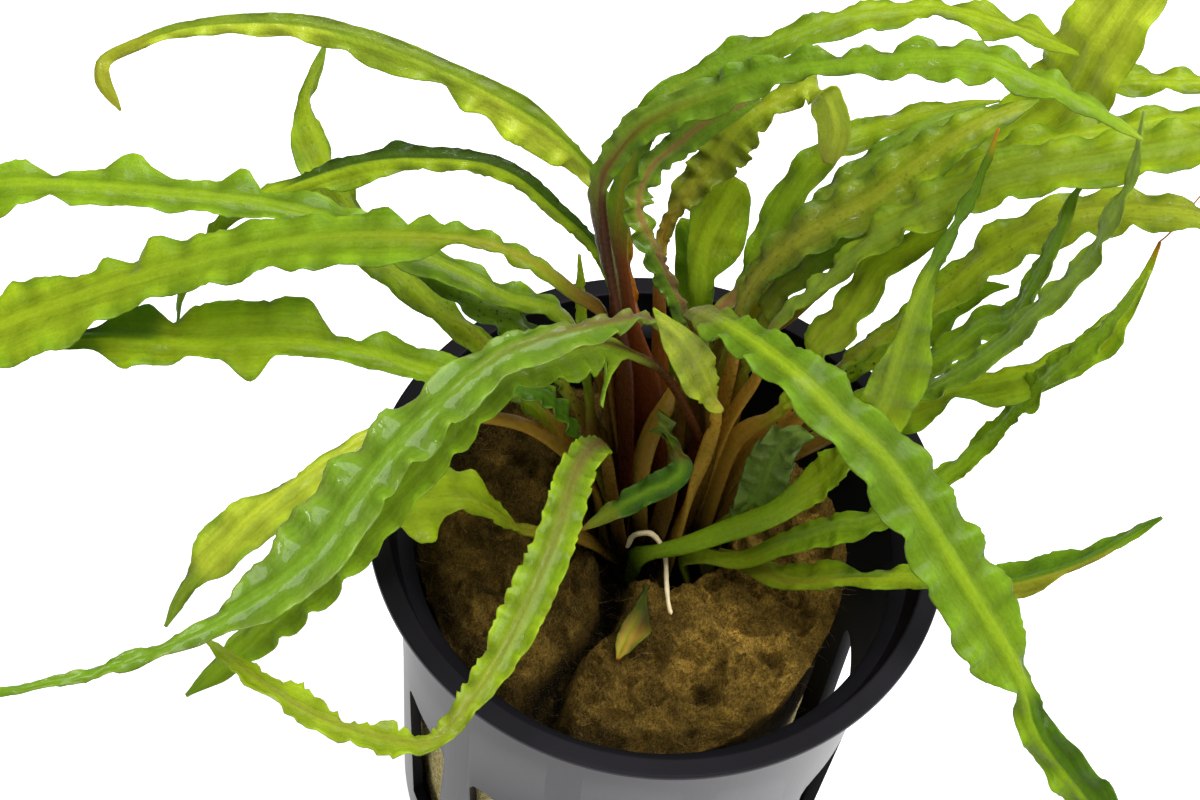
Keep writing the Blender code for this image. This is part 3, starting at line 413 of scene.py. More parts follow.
         margins=((45, 6, 6), (60, 11, 10), (70, 9, 12), (75, 9, 14), (80, 14, 30), (85, 17, 34),
          (90, 26, 30), (95, 26, 22), (99, 20, 14), (100, 4, 3))),
    Leaf("leaf_back_green", 40, 3.6, 0.45, 0.8, 1.1, finish="leaf_green", period=5.0, wave=(0.3, 0.3),
         blunt=0.5,
         route=((-1, 12.5, 61), (0, 14, 66), (-1, 17, 71), (-2.5, 19, 73)),
         colours="olive green green green green lime"),
    Leaf("leaf_back_amber", 27, 2.2, 0.45, 0.7, 1.1, finish="leaf_olive", period=4.0, wave=(0.3, 0.3),
         route=((-5, 13, 62), (-7, 15, 68), (-8, 18, 74), (-9, 21, 75)),
         colours="umber amber amber khaki amber lime"),
    Leaf("leaf_right_curled_edge", 11, 3.2, 0.36, 0.6, 1.1, finish="leaf_green", period=5.0,
         wave=(0.6, 0.3),
         route=((2.3, 9, 63), (4, 12, 72), (6, 17, 79), (9, 21, 83), (12, 23, 84), (17, 25, 86),
          (24, 28, 86)),
         colours="umber olive bright lime green lime"),
    Leaf("leaf_right_pink_rib", 7, 2.4, 0.42, 0.7, 1.2, finish="leaf_bronze", period=3.6, wave=(0.4, 0.4),
         crimp=0.3, band=0.9,
         route=((-2.4, 0.8, 56), (-2, 2.6, 62), (-0.5, 3.8, 67.5), (2, 7.5, 75), (6, 11, 79),
          (11, 16, 86), (17, 20, 90), (22, 23, 91)),
         colours="tan pink moss green green green"),
    Leaf("leaf_right_olive", 3, 5.0, 0.44, 0.72, 1.4, finish="leaf_olive", period=4.0, wave=(0.5, 0.5),
         band=0.9, fade=0.4, spots=0.4,
         route=((3.2, 4.2, 57), (3.8, 4.6, 64), (4, 5, 72), (4, 7, 79), (7, 9, 85), (13, 12, 89),
          (17, 15, 92), (21, 18, 94), (26, 21, 95)),
         colours="tan khaki moss lime deep green"),
    Leaf("leaf_right_long", 8, 5.4, 0.36, 0.7, 1.4, finish="leaf_lime", period=5.0, wave=(0.6, 0.6),
         band=1.1, fade=0.3,
         route=((4.5, 2.8, 64), (6.3, 3, 73), (7, 4, 80), (11, 6, 86), (15, 8, 91), (23, 11, 96),
          (31, 13, 98), (39, 15, 100), (48, 17, 100), (53, 17, 98)),
         colours="tan wax lime lime green lime"),
    Leaf("leaf_right_dark_ruffle", 16, 2.4, 0.42, 0.72, 1.1, finish="leaf_olive", period=3.4,
         wave=(0.45, 0.45), crimp=0.4,
         route=((5, 5, 60), (5.5, 7, 70), (6.5, 8.5, 77), (8.5, 9.5, 80), (12, 11, 84), (15, 13, 86),
          (18, 15, 88)),
         colours="umber khaki moss green deep green"),
    Leaf("leaf_right_bright", 13, 4.0, 0.44, 0.7, 1.2, finish="leaf_lime", period=4.6, wave=(0.5, 0.5),
         band=0.9, fade=0.3,
         route=((5.5, 3.2, 61), (9, 3, 68), (11, 5, 76), (13, 6, 80), (15, 9, 84), (19, 11, 87),
          (20, 13, 89)),
         colours="tan lime yellow_green lime green lime"),
    Leaf("leaf_right_folded_tip", 21, 5.0, 0.36, 0.72, 1.3, finish="leaf_olive", period=5.0,
         wave=(0.5, 0.5), spots=0.4,
         route=((7.5, 4, 58), (11, 4, 66), (14, 6, 73), (17, 7, 77), (21, 9, 81), (25, 12, 85),
          (30, 14, 88), (34, 15, 89), (38, 15, 90), (42, 15, 90), (46, 14, 88)),
         colours="tan khaki lime yellow_green green lime"),
    Leaf("leaf_right_rising", 28, 5.6, 0.34, 0.66, 1.2, finish="leaf_green", period=4.4, wave=(0.25, 0.25),
         band=0.9, fade=0.2, notch=0.04,
         route=((-1, -3, 49), (3, -3.2, 52.6), (6, -3, 55.6), (10, -3.5, 61), (13, -3, 66), (15, -3, 72),
          (17, -2, 78), (18, 2.5, 90), (21, 9, 97), (22, 13, 100)),
         colours="bright lime lime bright bright amber",
         turns=((0.5, 0), (0.6, 65), (0.66, 85), (1.0, 85)),
         margins=((8, 7, 7), (15, 10, 10), (20, 11, 12), (30, 12, 14), (35, 18, 16), (40, 23, 21),
          (45, 20, 20), (50, 22, 22), (60, 20, 25), (65, 17, 32), (68, 12, 26), (70, 8, 22), (75, 7, 15),
          (80, 8, 10), (85, 6, 9), (90, 7, 7), (95, 5, 4), (100, 0.8, 0.8)),
         patches=((0.8, 0.97, 0, "deep", 0.8), (0.6, 0.8, -1, "green", 0.4), (0.12, 0.36, 1, "wax", 0.8))),
    Leaf("leaf_right_low", 31, 2.8, 0.2, 0.4, 1.3, finish="leaf_green", period=3.6, wave=(0.15, 0.15),
         teeth=0.1, notch=0.04,
         route=((3, -2, 49), (8, -3, 51), (12, -3, 56), (16, -3, 60), (19, -3, 62), (24, -1, 67),
          (28, 2, 71), (29.9, 2.5, 77.5), (31.7, 2.6, 82.5), (33.9, 3.4, 86.5), (35.5, 4.7, 90),
          (36.7, 6.2, 93)),
         colours="lime wax bright bright bright lime",
         margins=((11, 7, 7), (15, 9, 10), (23, 10, 15), (30, 12, 19), (34, 12, 22), (38, 12, 17),
          (45, 15, 16), (53, 12, 13), (56, 8, 12), (60, 17, 11), (63, 13, 9), (66, 20, 8), (70, 16, 10),
          (72, 19, 19), (74.5, 16, 8), (79, 16, 10), (82, 14, 19), (83.5, 13, 10), (86, 12, 18),
          (88, 10, 9), (92, 8, 6), (96, 5, 4.5), (100, 1, 1))),
    Leaf("leaf_right_far", 34, 4.0, 0.36, 0.62, 1.2, finish="leaf_lime", period=4.6, wave=(0.2, 0.2),
         notch=0.03,
         route=((8, 2.4, 57), (13, 3, 65), (19, 3.5, 70.5), (24, 4, 75), (30, 5, 78), (34, 7, 80),
          (36, 9, 82), (38, 12, 84), (39, 15, 86)),
         colours="olive khaki lime lime green amber",
         margins=((36, 6, 6), (45, 16, 20), (50, 17, 25), (53, 17, 32), (56, 16, 24), (60, 10, 11),
          (63, 8, 19), (66, 7, 29), (70, 8, 31), (73, 7, 26), (76, 10, 24), (80, 11, 25), (84, 9, 26),
          (87, 7, 18), (90, 5, 10), (95, 4, 5), (100, 1, 1)),
         patches=((0.6, 0.8, -1, "green", 0.3),)),
    Leaf("leaf_right_twisted", 42, 3.4, 0.38, 0.62, 1.1, finish="leaf_dark", period=4.0, wave=(0.3, 0.3),
         route=((9, 5, 58), (15, 6, 66.5), (22, 7, 74.5), (25, 8, 79), (27, 7, 82), (28, 8, 86),
          (29, 10, 90), (30, 13, 93), (31, 14, 94)),
         colours="umber bright bright green bright green"),
    Leaf("leaf_right_near_tip", 26, 2.8, 0.4, 0.65, 1.1, finish="leaf_waxy", period=4.4, wave=(0.3, 0.3),
         route=((8, 0.6, 60), (16, 1, 71), (23, 1, 81), (26, 2, 85), (28, 3, 89), (31, 5, 94),
          (32, 7, 98), (33, 9, 101), (33, 13, 105)),
         colours="umber wax green wax bright wax"),
    Leaf("leaf_right_dotted", 29, 3.4, 0.5, 0.75, 1.1, finish="leaf_green", period=4.2, wave=(0.35, 0.35),
         spots=1.0,
         route=((8, 6, 60), (17, 9, 70.5), (21, 10, 74.5), (23, 11.5, 77), (25, 12, 79), (27, 12, 80)),
         colours="tan green lime bright green green"),
    Leaf("leaf_top_right_broad", 24, 8.6, 0.48, 0.74, 1.2, finish="leaf_lime", period=4.6, wave=(0.5, 0.5),
         notch=0.04,
         route=((5, 14, 65), (13, 20, 74), (22, 25, 80), (28, 28, 84), (30, 29, 88), (31, 30, 93),
          (33, 33, 97), (34, 36, 100), (34, 39, 104)),
         colours="khaki lime lime yellow_green lime yellow_green"),
    Leaf("leaf_back_right_upper", 32, 3.4, 0.36, 0.7, 1.1, finish="leaf_green", period=5.0, wave=(0.5, 0.5),
         route=((4, 14, 61), (6, 15, 65), (17, 25, 75), (25, 31, 80), (30, 33, 82), (34, 34, 84),
          (42, 35, 85), (50, 37, 85)),
         colours="umber moss lime lime green green"),
    Leaf("leaf_back_right_lower", 37, 3.8, 0.36, 0.7, 1.1, finish="leaf_lime", period=5.0, wave=(0.5, 0.5),
         route=((5, 11, 65), (9, 13, 69), (17, 19, 79), (24, 22, 85), (29, 23.5, 87), (34, 25, 88),
          (41, 27, 89), (49, 27, 88)),
         colours="umber khaki lime lime green lime"),
    Leaf("leaf_right_low_front", 39, 3.4, 0.16, 0.45, 1.3, finish="leaf_olive", period=5.0,
         wave=(0.15, 0.15), notch=0.02,
         route=((5, -1, 48), (9, -2, 49), (13, -5, 52), (18, -6, 56), (22, -7, 59), (27, -8, 62),
          (31, -9, 64), (37, -8, 68), (41, -6, 71), (43, -5, 73)),
         colours="khaki khaki lime green bright deep",
         margins=((8, 8, 8), (20, 13, 11), (25, 20, 9), (30, 22, 9), (35, 20, 10), (40, 6, 8),
          (45, 10, 14), (50, 16, 10), (60, 16, 12), (65, 20, 14), (70, 24, 16), (73, 24, 17), (80, 22, 6),
          (85, 16, 4), (90, 13, 5), (95, 9, 5), (100, 1, 1)),
         patches=((0.62, 0.9, -1, "khaki", 0.85), (0.62, 1.0, 1, "deep", 0.5),
          (0.36, 0.46, 1, "deep", 0.6))),
    Leaf("leaf_inner_dark", 18, 4.4, 0.3, 0.6, 1.1, finish="leaf_dark", period=3.0, wave=(0.7, 0.7),
         teeth=0.12, notch=0.1,
         route=((6, -1, 54), (8.5, -1.3, 60), (9, -1, 66), (10, -1, 70), (12, -2, 72)),
         colours="umber green deep deep dark deep",
         turns=((0.35, 0), (0.5, -90), (0.85, -110), (1.0, -150))),
    Leaf("leaf_inner_crimped", 17, 2.6, 0.36, 0.65, 1.1, finish="leaf_dark", period=2.4, wave=(0.45, 0.45),
         crimp=0.7, notch=0.3,
         route=((-5.8, 2, 53), (-8, 1.6, 59), (-10.5, 2, 64), (-13, 1.5, 67), (-17, 0, 68), (-19, -1, 68)),
         colours="olive deep deep deep green deep"),
)

SHED_LEAF = Leaf(
    "shed_leaf", 0, 2.3, 0.05, 0.45, 0.3, finish="leaf_bronze", period=3.0, wave=(0.2, 0.15), roll=(-25, 20),
    fold=0.5, teeth=0.02, fade=0.0,
    route=((-0.1, -6.6, 49.2), (-0.4, -8.6, 48.7), (-1.1, -11.2, 48.2), (-1.7, -13.8, 47.8)),
    colours="moss khaki umber tan deep amber",
    margins=((2, 2.5, 2), (20, 4, 4), (40, 13, 7), (50, 20, 8), (62, 19, 9), (75, 13, 8), (88, 7, 5),
             (100, 0.6, 0.6)),
    patches=((0.0, 0.3, 0, "deep", 0.6),),
)


def linear(colour):
    """A 0-255 sRGB colour as linear light."""
    share = np.asarray(colour, float) / 255.0
    return np.where(share <= 0.04045, share / 12.92, ((share + 0.055) / 1.055) ** 2.4)


def leaf_tone(name):
    """A leaf colour, a little darker than it shows under the bright studio light."""
    return linear(PALETTE[name]) * LEAF_TONE


def mixed(a, b, amount):
    """Colours between a and b, by an amount at each point."""
    return a + (b - a) * amount[..., None]


def ease(x):
    """Rises smoothly from 0 to 1 while x does."""
    x = np.clip(x, 0.0, 1.0)
    return x * x * (3.0 - 2.0 * x)


def drift(x, seed):
    """A smooth wandering line between about -1 and 1, different for each seed."""
    x = np.asarray(x, float)
    first = np.sin(x * 2.17 + seed * 1.93)
    second = np.sin(x * 4.03 + seed * 5.31 + 1.2)
    third = np.sin(x * 7.61 + seed * 2.67 + 2.9)
    return (first + 0.6 * second + 0.35 * third) / 1.6


def unit(vectors):
    return vectors / np.maximum(np.linalg.norm(vectors, axis=-1, keepdims=True), 1e-9)


def smooth_path(points):
    """Closely spaced points on a smooth curve through the knots, and each one's distance along it."""
    knots = np.array(points, float)
    ends = np.vstack((2 * knots[0] - knots[1], knots, 2 * knots[-1] - knots[-2]))
    shares = np.arange(12.0)[:, None] / 12.0
    fine = []
    for before, start, end, after in zip(ends, ends[1:], ends[2:], ends[3:]):
        a = -0.5 * before + 1.5 * start - 1.5 * end + 0.5 * after
        b = before - 2.5 * start + 2.0 * end - 0.5 * after
        c = 0.5 * (end - before)
        fine.append(a * shares**3 + b * shares**2 + c * shares + start)
    fine = np.vstack((*fine, knots[-1:]))
    steps = np.linalg.norm(np.diff(fine, axis=0), axis=1)
    return fine, np.concatenate(([0.0], np.cumsum(steps)))


def points_at(fine, lengths, distances):
    """Points at distances along the path, carried straight on before its start and after its end."""
    found = np.stack([np.interp(distances, lengths, fine[:, k]) for k in range(3)], axis=1)
    found += np.minimum(distances, 0.0)[:, None] * unit(fine[1] - fine[0])
    found += np.maximum(distances - lengths[-1], 0.0)[:, None] * unit(fine[-1] - fine[-2])
    return found


def seat_place(index):
    """A petiole's place on the crown: seats follow a sunflower spiral, as leaves on a short stem do."""
    radius = SEAT_STEP * math.sqrt(index + 0.5)
    turn = index * GOLDEN_ANGLE
    x = CROWN_CENTRE[0] + SEAT_SPREAD[0] * radius * math.cos(turn)
    y = CROWN_CENTRE[1] + SEAT_SPREAD[1] * radius * math.sin(turn)
    return x, y, CROWN_TOP + 0.3


def leaf_width(leaf, share):
    """The whole width of a leaf that has no margins of its own."""
    swell = ease((share - leaf.blade) / (leaf.widest - leaf.blade))
    rest = np.clip((share - leaf.widest) / (1.0 - leaf.widest), 0.0, 1.0)
    blade = leaf.petiole + (leaf.width - leaf.petiole) * swell
    tip = np.maximum(TIP_WIDTH, leaf.width * (1.0 - rest**2.4) ** leaf.blunt)
    return np.where(share < leaf.widest, blade, tip)


def rounded(keys, share, length, blur):
    """Values at shares of the length, swelling round each given peak and pinched at each low key."""
    fine = np.linspace(-0.1, 1.1, 1201)
    first = np.clip(np.searchsorted(keys[:, 0], fine) - 1, 0, len(keys) - 2)
    part = np.clip((fine - keys[first, 0]) / (keys[first + 1, 0] - keys[first, 0]), 0.0, 1.0)
    rise = keys[first + 1, 1] - keys[first, 1]
    swollen = np.where(rise > 0.0, np.sin(0.5 * math.pi * part), 1.0 - np.cos(0.5 * math.pi * part))
    values = keys[first, 1] + rise * (0.4 * part + 0.6 * swollen)
    steps = max(1, round(3.0 * blur / length * 1000.0))
    bell = np.exp(-0.5 * (np.arange(-steps, steps + 1) / (steps / 3.0)) ** 2)
    values = np.convolve(np.pad(values, steps, mode="edge"), bell / bell.sum(), mode="valid")
    return np.interp(share, fine, values)


def by_side(left, right):
    """The left half's values at the columns left of the midrib, and the right half's at the others."""
    return np.where(COLUMNS >= 0, left[:, None], right[:, None])


def margin_reach(leaf, share, length, blur):
    """How far the margins lie from the midrib, with their lobes smoothed over the blur's length."""
    if not leaf.margins:
        half = 0.5 * leaf_width(leaf, share)
        return by_side(half, half)
    keys = np.array(((0, 5 * leaf.petiole, 5 * leaf.petiole), *leaf.margins)) / (100, 10, 10)
    return by_side(*(rounded(keys[:, (0, k)], share, length, blur) for k in (1, 2)))


class LeafSheet:
    """A leaf's thin closed sheet. Its grid has rows along the leaf and columns from right to left margin."""

    def __init__(self, leaf, route, seed, sunk):
        self.leaf = leaf
        self.seed = seed
        self.lay_rows(route, sunk)
        self.spread_columns()
        self.ruffle()
        self.shape_surface()

    def lay_rows(self, route, sunk):
        """Sets how far along the leaf each row lies, and its place and directions in space."""
        leaf = self.leaf
        fine, lengths = smooth_path(route)
        length = lengths[-1]
        start = leaf.blade * length
        stalk_rows = max(6, math.ceil((start + sunk) / STALK_STEP))
        blade_rows = math.ceil((length - start) / min(ROW_STEP, leaf.period / RUFFLE_ROWS)) + 1
        stalk = np.linspace(-sunk, start, stalk_rows, endpoint=False)
        s = np.concatenate((stalk, np.linspace(start, length, blade_rows)))
        share = np.clip(s / length, 0.0, 1.0)
        in_blade = ease((share - leaf.blade) / 0.08)
        here = points_at(fine, lengths, s)
        ahead = points_at(fine, lengths, np.minimum(s + 1.0, length + 0.2))
        along = unit(ahead - points_at(fine, lengths, s - 1.0))
        outward = here - fine[0] + (fine[-1] - fine[0]) * 0.35
        flat = np.stack((-outward[:, 1], outward[:, 0], np.zeros(len(s))), axis=1)
        side = unit(flat - along * np.sum(flat * along, axis=1, keepdims=True))
        up = np.cross(along, side)
        degrees = leaf.roll[0] + (leaf.roll[1] - leaf.roll[0]) * share + np.interp(share, *zip(*leaf.turns))
        turn = (np.radians(degrees) * in_blade)[:, None]
        self.s, self.share, self.in_blade = s, share, in_blade
        self.length, self.start = length, start
        self.along_blade = np.clip((s - start) / (length - start), 0.0, 1.0)
        self.here, self.along = here, along
        self.side = side * np.cos(turn) + up * np.sin(turn)
        self.up = up * np.cos(turn) - side * np.sin(turn)

    def spread_columns(self):
        """Sets the width of each half, how much of it is a lobe, and how much relief a row may have."""
        leaf, s, share = self.leaf, self.s, self.share
        winged = ease((share - leaf.blade + leaf.wing) / 0.06) if leaf.wing else self.in_blade
        calm = winged * np.minimum(1.0, (1.0 - share) * 9.0)
        if leaf.crimp:
            calm = calm * (1.0 - 0.8 * ease((self.along_blade - 0.72) / 0.15))
        half = margin_reach(leaf, share, self.length, 0.35)
        self.lobe = half - margin_reach(leaf, share, self.length, 2.6)
        if leaf.wing:
            half = half + (0.45 * winged * (1.0 - ease((share - leaf.blade) / 0.15)))[:, None]
        stem_end = leaf.margins[0][0] / 100 if leaf.margins else leaf.blade
        stem = 0.6 * ease((34.0 - s) / 30.0) * ease((stem_end - share) / 0.06)
        sheath = 0.5 * leaf.sheath * ease((self.start * 0.8 - s) / 9.0) * ease((s + 8.0) / 8.0)
        self.half = half + stem[:, None] + sheath[:, None]
        self.calm = calm[:, None]

    def ruffle(self):
        """Sets the waves: short where the blade starts, irregular, and different at each margin."""
        leaf, s, seed = self.leaf, self.s, self.seed
        period = leaf.period * (0.5 + 0.5 * ease(self.along_blade / 0.3))
        turns = TAU * np.concatenate(([0.0], np.cumsum(np.diff(s) / period[1:])))
        beats = s / leaf.period
        wander = 1.5 * drift(beats / 3.1, seed) + 0.25 * drift(beats / 0.9, seed + 2.0)
        counter = 1.5 * drift(beats / 2.7, seed + 11.0)
        phase = by_side(turns + wander, turns * 0.96 + math.pi + counter + 0.6 * math.sin(seed))
        self.away = np.tanh(3.0 * self.side[:, 1])[:, None] * np.sign(COLUMNS)
        round_crest = np.cos(phase) - 0.22 * self.away * np.cos(2.0 * phase)
        sharp_crest = np.arcsin(0.96 * np.sin(phase + math.pi / 2)) * (2.0 / math.pi) * 1.15
        crimp = (leaf.crimp * ease((0.9 - self.along_blade) / 0.25))[:, None]
        heights = (
            wave * np.maximum(0.1, 0.75 + 0.65 * drift(beats / spacing, seed + shift))
            for wave, spacing, shift in zip(leaf.wave, (2.3, 2.0), (5.0, 7.0))
        )
        self.phase, self.crimp = phase, crimp
        self.crest = round_crest * (1.0 - crimp) + sharp_crest * crimp
        self.strength = np.minimum(by_side(*heights) * self.calm, 0.6 * self.half)

    def shape_surface(self):
        """Sets each grid point: the fold, gutters by the midrib, ruffles, puckers, teeth and scallops."""
        leaf, seed, half, calm = self.leaf, self.seed, self.half, self.calm
        phase, away, strength = self.phase, self.away, self.strength
        s = self.s[:, None]
        flesh = self.in_blade[:, None]
        spread = ease((REACH - 0.15) / 0.85) * (1.0 - self.crimp) + (0.25 + 0.75 * REACH) * self.crimp
        from_rib = REACH * half
        gutter = ease((from_rib - 0.25) / 0.6) * (1.0 - ease((from_rib - 0.8) / (0.55 * half + 0.2)))
        if leaf.crimp:
            gutter = gutter * (1.0 - ease((self.along_blade[:, None] - 0.75) / 0.1))
        domes = np.cos(phase * 2.0 + 0.8) * 4.0 * REACH * (1.0 - REACH)
        hammer = drift(s * 1.7 + COLUMNS * 2.0, seed + 3.0)
        hammer = hammer * drift(COLUMNS * half * 1.9 + 0.3 * s, seed + 8.0)
        teeth = np.abs(np.sin(s * 2.0 + 1.4 * drift(s * 0.45 + 4.0 * (COLUMNS > 0), seed + 6.0)))
        lift = half * (leaf.fold * REACH - 0.10 * REACH**2) * flesh
        lift = lift - (0.24 + 0.10 * np.cos(phase * 2.0)) * gutter * flesh * np.minimum(1.0, half / 1.6)
        lift = lift + strength * (spread * self.crest + 0.20 * domes)
        lift = lift + 0.55 * self.lobe * away * REACH**2 * calm
        lift = lift + calm * (0.16 * hammer * REACH + 3.0 * leaf.teeth * (teeth - 0.5) * REACH**3)
        scallop = leaf.notch * ((1.0 - away * np.cos(phase)) / 2.0) ** 3
        toothed = leaf.teeth * calm * (teeth - 0.6) * REACH**3
        across = COLUMNS * (half * (1.0 + calm * (0.03 - scallop * REACH**2)) + toothed)
        lean = -0.25 * strength * spread * np.sin(phase)
        for place, which, wider, higher, long in leaf.lobes:
            bump = np.exp(-(((self.share - place) * self.length / long) ** 2))[:, None]
            bump = bump * REACH**1.5 * (np.sign(COLUMNS) == which)
            across = across + which * wider * bump
            lift = lift + higher * bump
        self.gutter, self.teeth, self.across = gutter, teeth, across
        self.rib_width = 0.22 + 0.30 * (1.0 - 0.7 * self.share[:, None])
        self.middle = self.here[:, None, :] + sum(
            direction[:, None, :] * amount[..., None]
            for direction, amount in ((self.side, across), (self.up, lift), (self.along, lean))
        )

    def rings(self):
        """The sheet's thickness: a round stalk, then a thin blade with a midrib that stands out below."""
        middle = self.middle
        flesh = self.in_blade[:, None]
        normal = unit(np.cross(np.gradient(middle, axis=0), np.gradient(middle, axis=1)))
        rib = np.exp(-((self.across / self.rib_width) ** 2)) * (1.0 - 0.7 * self.share[:, None])
        edge = np.sqrt(1.0 - REACH**2)
        stalk = (1.0 - flesh) * 0.38 * edge
        blade = 0.05 + 0.05 * edge
        top = middle + normal * (stalk + flesh * (blade - 0.06 * rib))[..., None]
        bottom = middle - normal * (stalk + flesh * (blade + 0.34 * rib))[..., None]
        return np.concatenate((middle[:, :1], top[:, 1:-1], middle[:, -1:], bottom[:, -2:0:-1]), axis=1)

    def blade_tissue(self, rib_colour, near, far, rim, tip):
        """The blade's colours: midrib, rim, patches, painted light on its ruffle crests, painted shade in
        its folds and gutters, and the tip.
        """
        leaf, share = self.leaf, self.share
        along_blade = self.along_blade[:, None]
        ones = np.ones_like(self.phase)
        tissue = mixed(near, far, ease((along_blade - 0.3) / 0.45) * ones)
        margin = ease((REACH - 0.62 + 0.18 * drift(self.s / 2.1, self.seed)[:, None]) / 0.4)
        tissue = mixed(tissue, rim, margin * 0.7)
        rib_share = np.exp(-((self.across / (2.0 * leaf.band * self.rib_width)) ** 2))
        rib_share = rib_share * (1.0 - leaf.fade * ease((along_blade - 0.05) / 0.4))
        tissue = mixed(tissue, rib_colour, rib_share * 0.9)
        for first, last, which, colour, strong in leaf.patches:
            within = ease((share - first) / 0.03 + 0.5) * ease((last - share) / 0.03 + 0.5)
            within = within[:, None] * (ease(which * COLUMNS / 0.14 + 0.5) if which else ones)
            tissue = mixed(tissue, leaf_tone(colour), within * strong)
        # Painted light and shade: ruffle crests and teeth lighter, their troughs and the gutters by the
        # midrib darker. The margin's outermost points are also darkened.
        shading = 1.0 + self.calm * (0.20 * self.crest * REACH + 0.18 * (self.teeth - 0.6) * REACH**2)
        shading = shading - self.in_blade[:, None] * (0.24 * self.gutter + 0.30 * (REACH > 0.99))
        tissue = tissue * shading[..., None]
        return mixed(tissue, tip, ease((along_blade - 0.93) / 0.07) * ones * 0.8)

    def tissue(self):
        """Colours of the sheet's upper and under side, with painted shade near its seat."""
        stalk_colour, *blade_colours = (leaf_tone(name) for name in self.leaf.colours.split())
        s = self.s[:, None]
        flesh = self.in_blade[:, None]
        ones = np.ones_like(self.phase)
        blade = self.blade_tissue(*blade_colours)
        tissue = mixed(stalk_colour, blade, ease((s - self.start + 3.0) / 7.0) * ones)
        tissue = mixed(tissue, leaf_tone("olive"), ease(s / self.start) * (1.0 - flesh) * 0.12 * ones)
        # Painted shade: stalks darker over their lowest 13 mm, and every leaf near black within a few
        # millimetres of its seat, where the crowded petioles shade one another.
        tissue = tissue * (1.0 - 0.4 * ease((13.0 - s) / 13.0) * (1.0 - flesh))[..., None]
        tissue = tissue * (1.0 - 0.7 * ease((6.0 - s) / 4.5))[..., None]
        tissue = np.clip(tissue, 0.0, 1.0)
        return tissue, mixed(tissue, leaf_tone("pale"), 0.16 * flesh * ones)


def new_object(name, data):
    obj = bpy.data.objects.new(name, data)
    bpy.context.scene.collection.objects.link(obj)
    return obj


def smooth_mesh(name, points, faces):
    mesh = bpy.data.meshes.new(name)
    mesh.from_pydata(points, [], faces)
    mesh.shade_smooth()
    return mesh


def ring_mesh(name, rings):
    """A closed mesh from a stack of rings of points in millimetres, capped at both ends."""
    count, around, _ = rings.shape
    row = np.arange(count - 1)[:, None] * around
    here = row + np.arange(around)
    beside = row + np.roll(np.arange(around), -1)
    faces = np.stack((here, here + around, beside + around, beside), axis=-1).reshape(-1, 4).tolist()
    faces.append(list(range(around)))
    faces.append(list(range(count * around - 1, (count - 1) * around - 1, -1)))
    return smooth_mesh(name, (rings.reshape(-1, 3) * MM).tolist(), faces)


def put_attribute(mesh, name, kind, values):
    field = {"FLOAT_COLOR": "color", "FLOAT_VECTOR": "vector", "FLOAT": "value"}[kind]
    attribute = mesh.attributes.new(name, kind, "POINT")
    attribute.data.foreach_set(field, np.ascontiguousarray(values, np.float32).ravel())


def add_piece(name, mesh, finish, slot, *nodes):
    """Links a piece, rides it on the plant's one body and lets it stand for its CAD nodes."""
    obj = new_object(name, mesh)
    mesh.materials.append(finish)
    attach(obj, "root")
    if nodes:
        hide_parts(*nodes)


def leaf_mesh(leaf, route, seed, sunk):
    """A leaf's mesh, with its colours, the place of each point along and across it, and its spots."""
    sheet = LeafSheet(leaf, route, seed, sunk)
    ones = np.ones_like(sheet.phase)
    place = np.stack((sheet.s[:, None] * ones, sheet.across, seed * ones), axis=-1)
    spots = (leaf.spots * (1.0 - 0.6 * sheet.along_blade[:, None]) * ones)[..., None]

    def around(top, bottom):
        return np.concatenate((top, bottom[:, -2:0:-1]), axis=1).reshape(-1, top.shape[-1])

    mesh = ring_mesh("ruffled_" + leaf.name, sheet.rings())
    colours = around(*sheet.tissue())
    put_attribute(mesh, "tissue", "FLOAT_COLOR", np.column_stack((colours, np.ones(len(colours)))))
    put_attribute(mesh, "place", "FLOAT_VECTOR", around(place, place))
    put_attribute(mesh, "spots", "FLOAT", around(spots, spots))
    return mesh


class Nodes:
    """Shorthand for building a material's nodes."""

    def __init__(self, name):
        self.material = bpy.data.materials.new(name)
        self.material.use_nodes = True
        self.tree = self.material.node_tree
        self.tree.nodes.clear()

    def add(self, kind, inputs=(), **settings):
        node = self.tree.nodes.new(kind)
        for key, value in settings.items():
            setattr(node, key, value)
        for key, value in dict(inputs).items():
            if isinstance(value, bpy.types.NodeSocket):
                self.tree.links.new(value, node.inputs[key])
            else:
                node.inputs[key].default_value = value
        return node

    def attribute(self, name, output):
        return self.add("ShaderNodeAttribute", attribute_name=name).outputs[output]

    def object_place(self):
        return self.add("ShaderNodeTexCoord").outputs["Object"]

    def noise(self, vector, scale, detail=3.0, roughness=0.55):
        inputs = {"Vector": vector, "Scale": scale, "Detail": detail, "Roughness": roughness}
        return self.add("ShaderNodeTexNoise", inputs).outputs["Fac"]

    def stretch(self, vector, factors):
        return self.add("ShaderNodeVectorMath", {0: vector, 1: factors}, operation="MULTIPLY").outputs[0]

    def remap(self, value, low, high, to_low=0.0, to_high=1.0):
        inputs = {"Value": value, "From Min": low, "From Max": high, "To Min": to_low, "To Max": to_high}
        return self.add("ShaderNodeMapRange", inputs).outputs["Result"]

    def mix(self, amount, a, b, blend="MIX"):
        inputs = {0: amount, 6: a, 7: b}
        return self.add("ShaderNodeMix", inputs, data_type="RGBA", blend_type=blend).outputs[2]

    def mottled(self, colour, pattern, low, high, darkest, brightest):
        """The colour, made darker and brighter by a pattern."""
        return self.mix(1.0, colour, self.remap(pattern, low, high, darkest, brightest), "MULTIPLY")

    def bump(self, height, strength, distance, normal=None):
        inputs = {"Height": height, "Strength": strength, "Distance": distance}
        if normal is not None:
            inputs["Normal"] = normal
        return self.add("ShaderNodeBump", inputs).outputs["Normal"]

    def skin(self, inputs):
        return self.add("ShaderNodeBsdfPrincipled", inputs).outputs[0]

    def finish(self, shader):
        self.add("ShaderNodeOutputMaterial", {"Surface": shader})
        return self.material


